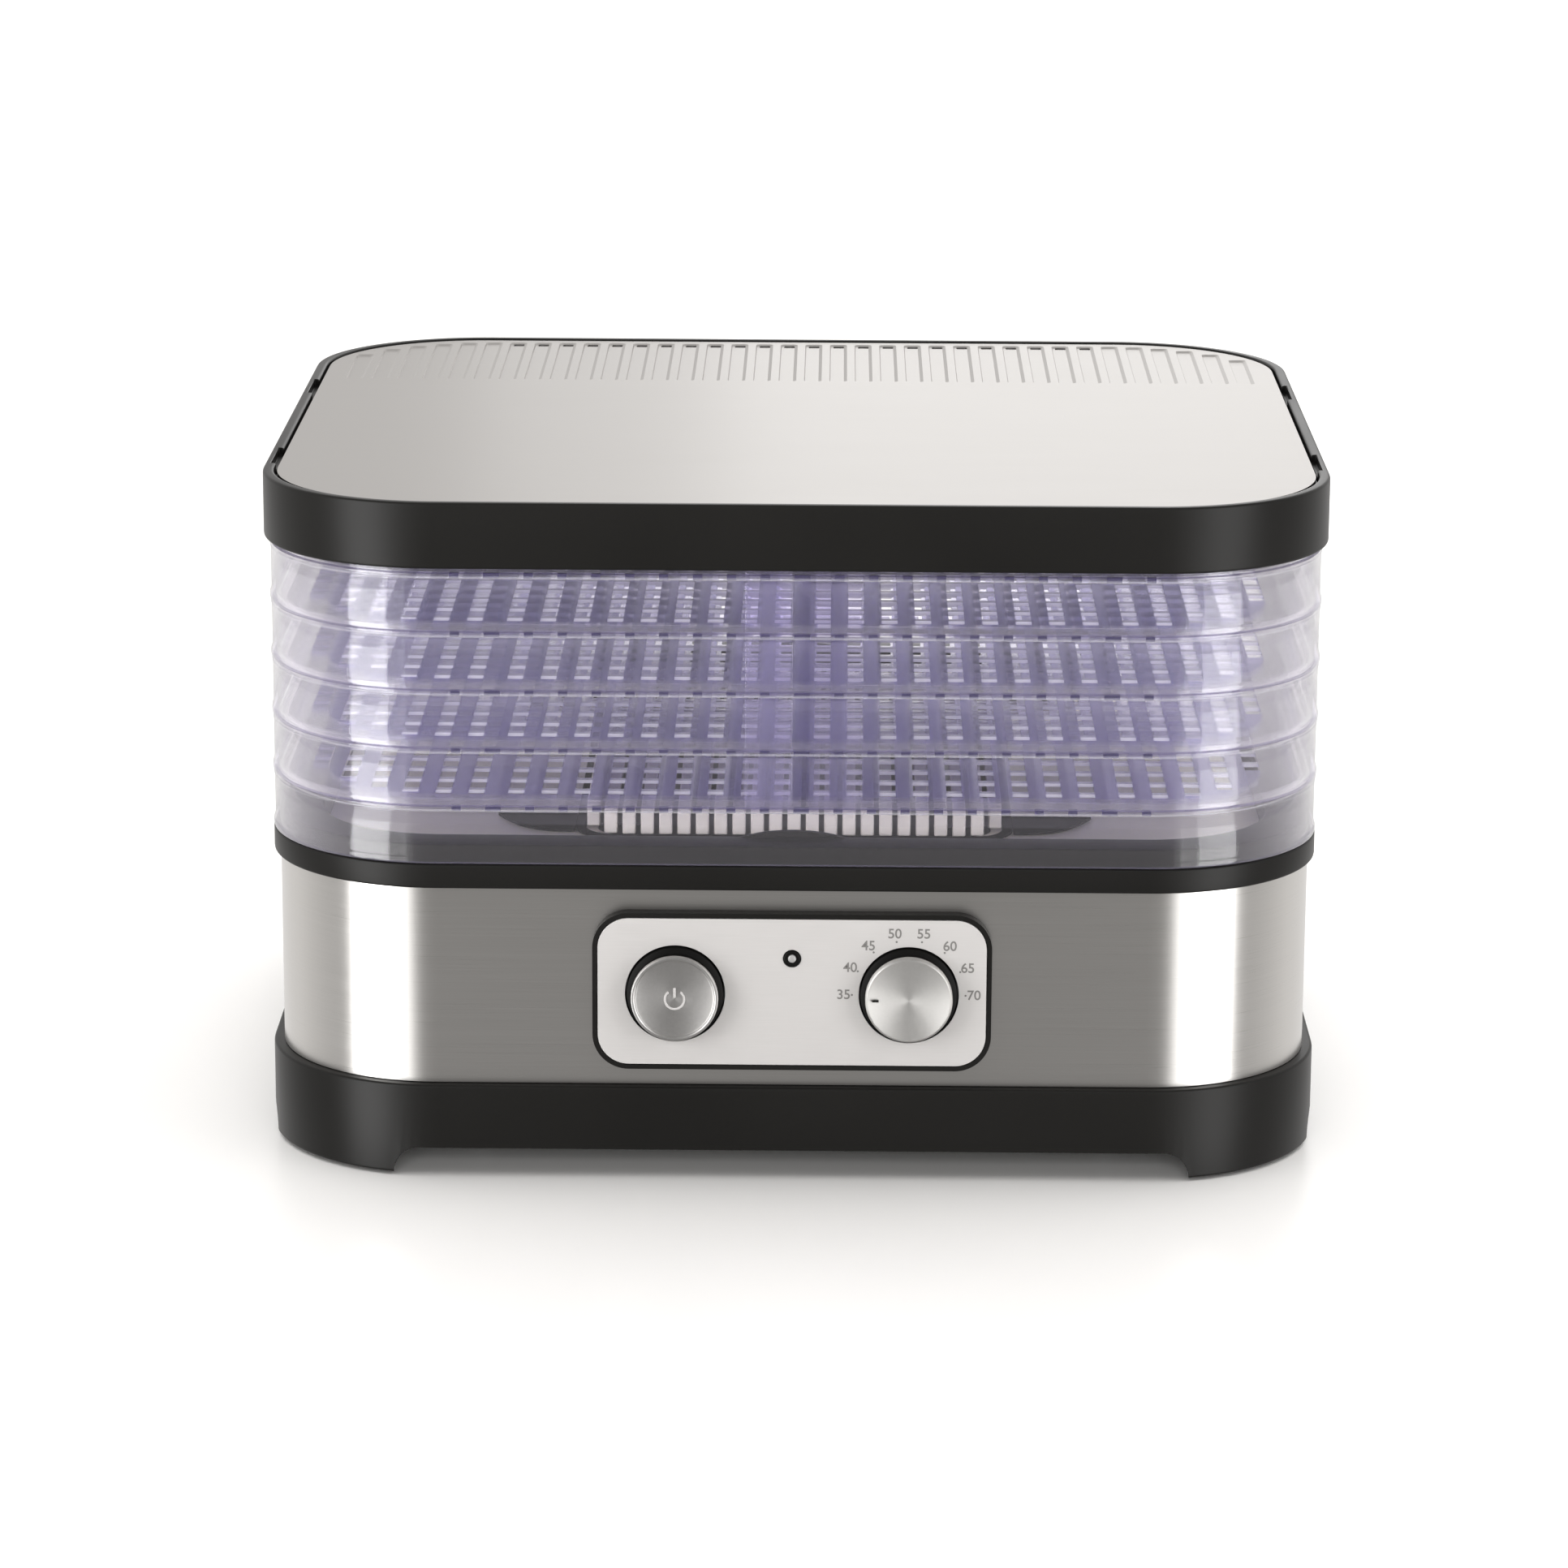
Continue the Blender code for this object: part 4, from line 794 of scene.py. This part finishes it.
def make_tray_meshes():
    """A tray's skirt, and its floor: border, strips between the open columns, rungs, and dark blocks at the
    strip ends whose dark violet is painted shade.
    """
    section = rounded_section(
        [
            (LIP_INSET, GAP),
            (LIP_INSET, 0.0024),
            (WALL_INSET, 0.0031),
            (WALL_INSET, BEAD_LOW),
            (WALL_INSET - 0.0003, BEAD_LOW + 0.0002),
            (WALL_INSET - 0.0003, BEAD_HIGH - 0.0002),
            (WALL_INSET, BEAD_HIGH),
            (WALL_INSET, TRAY_PITCH),
            (RIM_INSET, TRAY_PITCH),
            (RIM_INSET, TRAY_PITCH + RIM_HEIGHT),
            (RIM_END, TRAY_PITCH + RIM_HEIGHT),
            (RIM_END, LEDGE_TOP),
            (LEDGE_END, LEDGE_TOP),
            (LEDGE_END, LEDGE_TOP - LEDGE_THICKNESS),
            (WALL_INSET + WALL_THICKNESS, LEDGE_TOP - LEDGE_THICKNESS - 0.0030),
            (WALL_INSET + WALL_THICKNESS, GAP),
        ],
        0.0005,
        2,
    )
    skirt = ring_mesh("tray_skirt", section)
    slots = []
    rungs = []
    low, high = MESH_TOP - MESH_THICKNESS, MESH_TOP
    half_open = (COLUMN_PITCH - STRIP_WIDTH) / 2
    for x in column_places():
        limit = reach_at(abs(x) + half_open, FIELD_INSET + 0.0010)
        slots.append(rectangle(half_open, limit, (x, 0.0)))
        rows = int(limit / RUNG_PITCH)
        for row in range(-rows, rows + 1):
            size = (2 * half_open + 0.0006, RUNG_WIDTH, RUNG_THICKNESS)
            rungs.append((size, (x, row * RUNG_PITCH, high - 0.0002 - RUNG_THICKNESS / 2)))
    strips = flat_mesh("tray_strips", [casing_outline(FIELD_INSET), *slots], low, high)
    border = flat_mesh("tray_border", [casing_outline(0.0082), casing_outline(FIELD_INSET)], low, high)
    ladder = block_mesh("tray_rungs", rungs)
    # Dark blocks at the strip ends: painted shade where the ends of the strips lie in shade.
    shade_blocks = []
    edges = sorted(column_places())
    for left, right in zip(edges, edges[1:]):
        x = (left + right) / 2
        width = (right - left) - (COLUMN_PITCH - STRIP_WIDTH) - 0.0032
        if abs(x) < HALF_WIDTH - CORNER_RADIUS + 0.004:
            y = reach_at(x, SHADE_BLOCK_INSET)
            for side in (-1, 1):
                shade_blocks.append(((width, *SHADE_BLOCK_SIZE), (x, side * y, MESH_TOP - 0.0010)))
    edge = block_mesh("strip_ends", shade_blocks)
    return skirt, border, strips, ladder, edge


def pillar_outlines():
    """Plan of a ribbed pillar, as one outline, and of a plain hollow one, as an outline and its hole."""
    half_x = RIBBED_PILLAR_WIDTH / 2
    ribs = 7
    samples = 6 * ribs
    wave = []
    for index in range(samples + 1):
        share = index / samples
        wave.append((-half_x + 2 * half_x * share, -0.0030 + 0.0007 * math.cos(2 * math.pi * ribs * share)))
    ribbed = wave + [(half_x, 0.0028), (-half_x, 0.0028)]
    half_x = PLAIN_PILLAR_WIDTH / 2
    outer = rounded_rectangle(half_x, 0.0029, 0.0008, 3)
    hole = rounded_rectangle(half_x - 0.0011, 0.0018, 0.0004, 3)
    return [ribbed], [outer, hole]


def is_seam(polygon):
    """Level faces where one tray stands on the next, under the lip and on the shoulder, which get a darker
    violet as painted shade in the gap.
    """
    height = polygon.center.z
    return abs(polygon.normal.z) > 0.8 and (height < 0.001 or abs(height - TRAY_PITCH) < 0.0005)


def is_bead(polygon):
    """The low bead around the wall, just under the shoulder, which shows as a thin pale line: a painted
    highlight, from a paler, milkier copy of the wall's plastic.
    """
    return BEAD_LOW < polygon.center.z < BEAD_HIGH


def make_trays():
    """All trays. Every other one is turned half round, but its mesh pattern isn't turned with it."""
    skirt, border, strips, ladder, edge = make_tray_meshes()
    ribbed, plain = pillar_outlines()
    low = LEDGE_TOP + GAP
    ribbed_mesh = flat_mesh("ribbed_pillar", ribbed, low, PILLAR_TOP)
    plain_mesh = flat_mesh("plain_pillar", plain, low, PILLAR_TOP)
    for number in TRAY_NUMBERS:
        body = f"tray_{number}"
        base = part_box(body)[0].z - GAP
        turn = Matrix.Rotation(math.pi if number % 2 else 0.0, 4, "Z")
        level = Matrix.Translation((0.0, 0.0, base))
        place = level @ turn
        wall = new_piece(f"tray_{number}_skirt", skirt.copy())
        wall.matrix_world = place
        dress(wall, TRAY_CLEAR, body, "clear_plastic", f"tray_{number}")
        tint_faces(wall, TRAY_SEAM_SHADE, is_seam)
        tint_faces(wall, TRAY_BEAD_HIGHLIGHT, is_bead)
        parts = (
            ("floor_border", border, TRAY_CLEAR, [f"tray_mesh_{number}"]),
            ("strips", strips, TRAY_STRIP, [f"tray_mesh_{number}"]),
            # The rungs' pale material is painted highlight.
            ("rungs", ladder, TRAY_RUNG_HIGHLIGHT, []),
            ("strip_ends", edge, TRAY_END_SHADE, []),
        )
        for word, shape, material, replaced in parts:
            part = new_piece(f"tray_{number}_{word}", shape.copy())
            part.matrix_world = level
            dress(part, material, body, "clear_plastic", *replaced)
        pillars = (("ribbed", ribbed_mesh, RIBBED_PILLAR_X), ("plain", plain_mesh, PLAIN_PILLAR_X))
        for kind, shape, x in pillars:
            for side, word in ((-1, "front"), (1, "back")):
                pillar = new_piece(f"tray_{number}_{kind}_pillar_{word}", shape.copy())
                stand = Matrix.Translation((-side * x, side * PILLAR_Y, 0.0))
                face = Matrix.Rotation(0.0 if side < 0 else math.pi, 4, "Z")
                pillar.matrix_world = place @ stand @ face
                dress(pillar, TRAY_PILLAR, body, "clear_plastic")


# ---------------------------------------------------------------- lid


LID_WALL = 0.0030
LID_LIP = 0.0042
PLATE_INSET = 0.0054
VENT_COUNT = 36
SLIT_COUNT = 24
VENT_PITCH = 0.0104
VENT_WIDTH = 0.0074
VENT_SLOPE = 0.0015
VENT_STEEP_SIDE = 0.0004
VENT_FRONT = 0.0790
VENT_MARGIN = 0.0050
VENT_DEPTH = 0.0007
SLIT_Y = 0.1626
PLATE_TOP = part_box("lid_top_plate")[1].z
WEB_TOP = LID_TOP - 0.0040
WEB_BOTTOM = LID_TOP - 0.0058
NOTCH_PLACES = (-0.0880, 0.0580)
NOTCH_SIZE = (0.0036, 0.030, 0.0032)


def make_lid():
    """The lid's band, the inner ledge that rests on the top tray and the web under the steel plate."""
    section = rounded_section(
        [
            (0.0, LID_BOTTOM),
            (0.0, LID_TOP),
            (LID_LIP, LID_TOP),
            (LID_LIP, WEB_BOTTOM),
            (LID_WALL, WEB_BOTTOM),
            (LID_WALL, LID_BOTTOM),
        ],
        0.0012,
        4,
    )
    band = new_piece("lid_band", ring_mesh("lid_band", section))
    notches = []
    for y in NOTCH_PLACES:
        for side in (-1, 1):
            place = (side * (HALF_WIDTH - 0.0040), y, LID_TOP - 0.0015)
            notches.append((NOTCH_SIZE, place))
    cut(band, block_mesh("notches", notches))
    dress(soften(band, 0.0003), BLACK_PLASTIC, "lid", "black_plastic", "lid_frame")
    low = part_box(f"tray_{len(TRAY_NUMBERS)}")[0].z + TRAY_PITCH + RIM_HEIGHT
    high = low + 0.0015
    outer = LID_WALL - 0.0005
    rest = ring_mesh("lid_rest", [(outer, low), (outer, high), (RIM_END, high), (RIM_END, low)])
    dress(new_piece("lid_rest", rest), BLACK_PLASTIC, "lid", "black_plastic")
    vent = rectangle(VENT_PITCH * SLIT_COUNT / 2, 0.0030, (0.0, SLIT_Y))
    web = new_piece("lid_web", flat_mesh("lid_web", [casing_outline(0.0046), vent], WEB_BOTTOM, WEB_TOP))
    dress(web, BLACK_PLASTIC, "lid", "black_plastic")


def sloping_grooves(places, floor):
    """Cutter for shallow grooves along Y: the left side is steep, the others slope down to the floor."""
    outlines = []
    for x, back in places:
        half = (back - VENT_FRONT) / 2
        outlines.append(rounded_rectangle(VENT_WIDTH / 2, half, 0.0016, 4, (x, (back + VENT_FRONT) / 2)))
    mesh = flat_mesh("vent_grooves", outlines, floor, PLATE_TOP + 0.0001)
    for vertex in mesh.vertices:
        if vertex.co.z < PLATE_TOP:
            x, back = min(places, key=lambda place: abs(place[0] - vertex.co.x))
            slope = VENT_SLOPE if vertex.co.x > x else VENT_STEEP_SIDE
            vertex.co.x += (x - vertex.co.x) * slope / (VENT_WIDTH / 2)
            middle = (back + VENT_FRONT) / 2
            vertex.co.y += math.copysign(VENT_SLOPE, middle - vertex.co.y)
    return mesh


def make_lid_plate():
    """The inset steel top, with a row of grooves at the back and a slit in each of the middle ones."""
    low = WEB_TOP + GAP
    plate = new_piece("lid_plate", flat_mesh("lid_plate", [casing_outline(PLATE_INSET)], low, PLATE_TOP))
    grooves = []
    slits = []
    for index in range(VENT_COUNT):
        x = (index - (VENT_COUNT - 1) / 2) * VENT_PITCH
        back = reach_at(abs(x) + VENT_WIDTH / 2, PLATE_INSET) - VENT_MARGIN
        grooves.append((x, back))
        if abs(x) < VENT_PITCH * SLIT_COUNT / 2:
            slits.append(rounded_rectangle(0.0022, 0.0018, 0.0006, 3, (x, SLIT_Y)))
    cut(plate, sloping_grooves(grooves, PLATE_TOP - VENT_DEPTH))
    cut(plate, flat_mesh("vent_slits", slits, low - 0.01, PLATE_TOP + 0.01))
    plate.data.shade_flat()
    dress(plate, STEEL_TOP, "lid", "brushed_steel", "lid_top_plate")


# ---------------------------------------------------------------- control panel


PANEL_RADIUS = 0.0135
PANEL_BORDER = 0.0017
PLATE_THICKNESS = PLATE_HIGH.y - PLATE_LOW.y
PANEL_Z = (PANEL_LOW.z + PANEL_HIGH.z) / 2
INDICATOR_LOW, INDICATOR_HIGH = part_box("indicator_bezel")
INDICATOR_Z = (INDICATOR_LOW.z + INDICATOR_HIGH.z) / 2
CONTROL_HOLE_RADIUS = 0.0186
SKIRT_RADIUS = (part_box("power_button_skirt")[1].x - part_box("power_button_skirt")[0].x) / 2
CAP_RADIUS = (KNOB_HIGH.x - KNOB_LOW.x) / 2
CAP_REACH = PANEL_FRONT - KNOB_LOW.y
DIAL_MARKS = (35, 40, 45, 50, 55, 60, 65, 70)
DIAL_RADIUS = 0.0242
TICK_RADIUS = 0.0211
TICK_SIZE = 0.0004
DIGIT_SIZE = 0.0052
STROKE_FATTENING = 0.00007
PRINT_PROUD = 0.00008


def panel_holes(centre_z):
    """Outlines of the holes for the controls and the pilot light, seen from the front."""
    holes = [circle(CONTROL_HOLE_RADIUS, 96, (x, CONTROL_Z - centre_z)) for x in (BUTTON_X, KNOB_X)]
    holes.append(circle(0.0034, 32, (0.0, INDICATOR_Z - centre_z)))
    return holes


def panel_outline(inset):
    half_x = PANEL_HIGH.x - inset
    half_z = PANEL_HIGH.z - PANEL_Z - inset
    return rounded_rectangle(half_x, half_z, PANEL_RADIUS - inset, 16)


def make_panel():
    """The black frame with a pocket in its front, and the silver plate in the pocket."""
    place = out_of_front(0.0, PANEL_FRONT, PANEL_Z)
    depth = PANEL_HIGH.y - PANEL_FRONT
    outlines = [panel_outline(0.0), *panel_holes(PANEL_Z)]
    gasket = new_piece("panel_frame", flat_mesh("panel_frame", outlines, -depth, 0.0))
    pocket = flat_mesh("pocket", [panel_outline(PANEL_BORDER)], -PLATE_THICKNESS - GAP, 0.01)
    gasket.matrix_world = place
    bpy.context.view_layer.update()
    cut(gasket, pocket, place)
    dress(soften(gasket, 0.0005, 3), BLACK_PLASTIC, "base", "black_plastic", "panel_gasket")
    outlines = [panel_outline(PANEL_BORDER + GAP), *panel_holes(PANEL_Z)]
    plate = new_piece("panel_face_plate", flat_mesh("panel_face_plate", outlines, -PLATE_THICKNESS, 0.0))
    plate.matrix_world = place
    dress(soften(plate, 0.00025), PANEL_SILVER, "base", "panel_plate", "panel_plate")


def dial_mesh():
    """The dial's numbers, upright, with a dot between each number and the knob."""
    shape = bmesh.new()
    for index, mark in enumerate(DIAL_MARKS):
        angle = math.pi * (1 - index / (len(DIAL_MARKS) - 1))
        curve = bpy.data.curves.new("mark", "FONT")
        curve.body = str(mark)
        curve.size = DIGIT_SIZE
        curve.align_x = "CENTER"
        curve.align_y = "CENTER"
        curve.extrude = PRINT_PROUD
        curve.offset = STROKE_FATTENING
        guide = new_piece("mark", curve)
        evaluated = guide.evaluated_get(bpy.context.evaluated_depsgraph_get())
        digits = bpy.data.meshes.new_from_object(evaluated)
        bpy.data.objects.remove(guide)
        outward = Vector((math.cos(angle), math.sin(angle), 0.0))
        digits.transform(Matrix.Translation(DIAL_RADIUS * outward))
        shape.from_mesh(digits)
        bpy.data.meshes.remove(digits)
        bmesh.ops.create_cone(
            shape,
            cap_ends=True,
            segments=12,
            radius1=TICK_SIZE,
            radius2=TICK_SIZE,
            depth=2 * PRINT_PROUD,
            matrix=Matrix.Translation(TICK_RADIUS * outward),
        )
    bmesh.ops.remove_doubles(shape, verts=shape.verts, dist=0.000001)
    return finish_mesh("dial_numbers", shape)


def make_dial():
    numbers = new_piece("dial_numbers", dial_mesh())
    numbers.matrix_world = out_of_front(KNOB_X, PANEL_FRONT, CONTROL_Z)
    dress(numbers, PRINT, "base", "panel_plate")


def make_control(name, x, body, face_profile, side_depth, metal):
    """A control on its shaft: black skirt and body with a turned metal face in front."""
    back = CAP_REACH - side_depth
    profile = [*face_profile, (CAP_RADIUS, back), (0.0, back)]
    face = new_piece(f"{name}_face", turned_mesh(f"{name}_face", profile, 128))
    face.matrix_world = out_of_front(x, PANEL_FRONT, CONTROL_Z)
    dress(face, metal, body, "spun_aluminium", name)
    body_profile = [
        (0.0, back - GAP),
        (CAP_RADIUS - 0.0004, back - GAP),
        (CAP_RADIUS - 0.0004, 0.0018),
        (SKIRT_RADIUS - 0.0010, 0.0014),
        (SKIRT_RADIUS - 0.0002, 0.0010),
        (SKIRT_RADIUS, 0.0002),
        (SKIRT_RADIUS, -0.0050),
        (0.0, -0.0050),
    ]
    grip = new_piece(f"{name}_grip", turned_mesh(f"{name}_grip", body_profile, 128))
    grip.matrix_world = out_of_front(x, PANEL_FRONT, CONTROL_Z)
    dress(grip, SOFT_BLACK, body, "black_plastic", f"{name}_skirt")


def make_controls():
    reach = CAP_REACH
    dished = [
        (0.0, reach - 0.0012),
        (0.0070, reach - 0.0011),
        (0.0140, reach - 0.0009),
        (0.0146, reach - 0.0007),
        (0.0149, reach - 0.0002),
        (0.0152, reach),
        (0.0158, reach),
        (0.0161, reach - 0.0001),
        (CAP_RADIUS, reach - 0.0004),
    ]
    make_control("power_button", BUTTON_X, "power_button", dished, 0.0022, DISHED_METAL_SHADED)
    flat = [
        (0.0, reach - 0.0003),
        (0.0148, reach - 0.0002),
        (0.0152, reach),
        (0.0155, reach),
        (0.0159, reach - 0.0003),
        (CAP_RADIUS, reach - 0.0009),
    ]
    make_control("thermostat_knob", KNOB_X, "thermostat_knob", flat, 0.0030, SPUN_METAL)


def make_power_symbol():
    """A broken ring with a bar in its gap, raised a little from the dished face."""
    outer = 0.0040
    inner = 0.0032
    gap_degrees = 38
    outline = arc(0.0, 0.0, outer, 90 + gap_degrees, 450 - gap_degrees, 40)
    outline += reversed(arc(0.0, 0.0, inner, 90 + gap_degrees, 450 - gap_degrees, 40))
    low = CAP_REACH - 0.0014
    high = CAP_REACH - 0.0009
    ring = new_piece("power_symbol_ring", flat_mesh("power_symbol_ring", [outline], low, high))
    bar_outline = rounded_rectangle(0.0005, 0.0019, 0.0003, 4, (0.0, 0.0026))
    bar = new_piece("power_symbol_bar", flat_mesh("power_symbol_bar", [bar_outline], low, high))
    for piece in (ring, bar):
        piece.matrix_world = out_of_front(BUTTON_X, PANEL_FRONT, CONTROL_Z - 0.0004)
        dress(soften(piece, 0.0001), PANEL_SILVER, "power_button", "spun_aluminium")


def make_indicator():
    """The pilot light: a black ring with a low dome in it."""
    front = PANEL_FRONT - INDICATOR_LOW.y
    radius = (INDICATOR_HIGH.x - INDICATOR_LOW.x) / 2
    lens_radius = (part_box("indicator_lens")[1].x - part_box("indicator_lens")[0].x) / 2
    ring_profile = [
        (lens_radius + 0.0001, front - 0.0006),
        (lens_radius + 0.0003, front - 0.0001),
        (lens_radius + 0.0006, front),
        (radius - 0.0004, front),
        (radius - 0.0001, front - 0.0002),
        (radius, front - 0.0006),
        (radius, -0.0040),
        (lens_radius + 0.0001, -0.0040),
    ]
    bezel = new_piece("indicator_ring", turned_mesh("indicator_ring", ring_profile, 48))
    bezel.matrix_world = out_of_front(0.0, PANEL_FRONT, INDICATOR_Z)
    dress(bezel, SOFT_BLACK, "base", "black_plastic", "indicator_bezel")
    dome = [(0.0, front)]
    for angle in (0.4, 0.8, 1.2, RIGHT_ANGLE):
        dome.append((lens_radius * math.sin(angle), front - 0.0006 * (1 - math.cos(angle))))
    dome += [(lens_radius, -0.0030), (0.0, -0.0030)]
    lens = new_piece("indicator_dome", turned_mesh("indicator_dome", dome, 32))
    lens.matrix_world = out_of_front(0.0, PANEL_FRONT, INDICATOR_Z)
    dress(lens, LENS, "base", "lens", "indicator_lens")


# ---------------------------------------------------------------- scene


set_picture()
place_camera()
make_world()
light_studio(lay_floor())
make_base_shell()
make_steel_band()
make_collar()
make_deck()
make_outlet()
make_trays()
make_lid()
make_lid_plate()
make_panel()
make_dial()
make_controls()
make_power_symbol()
make_indicator()
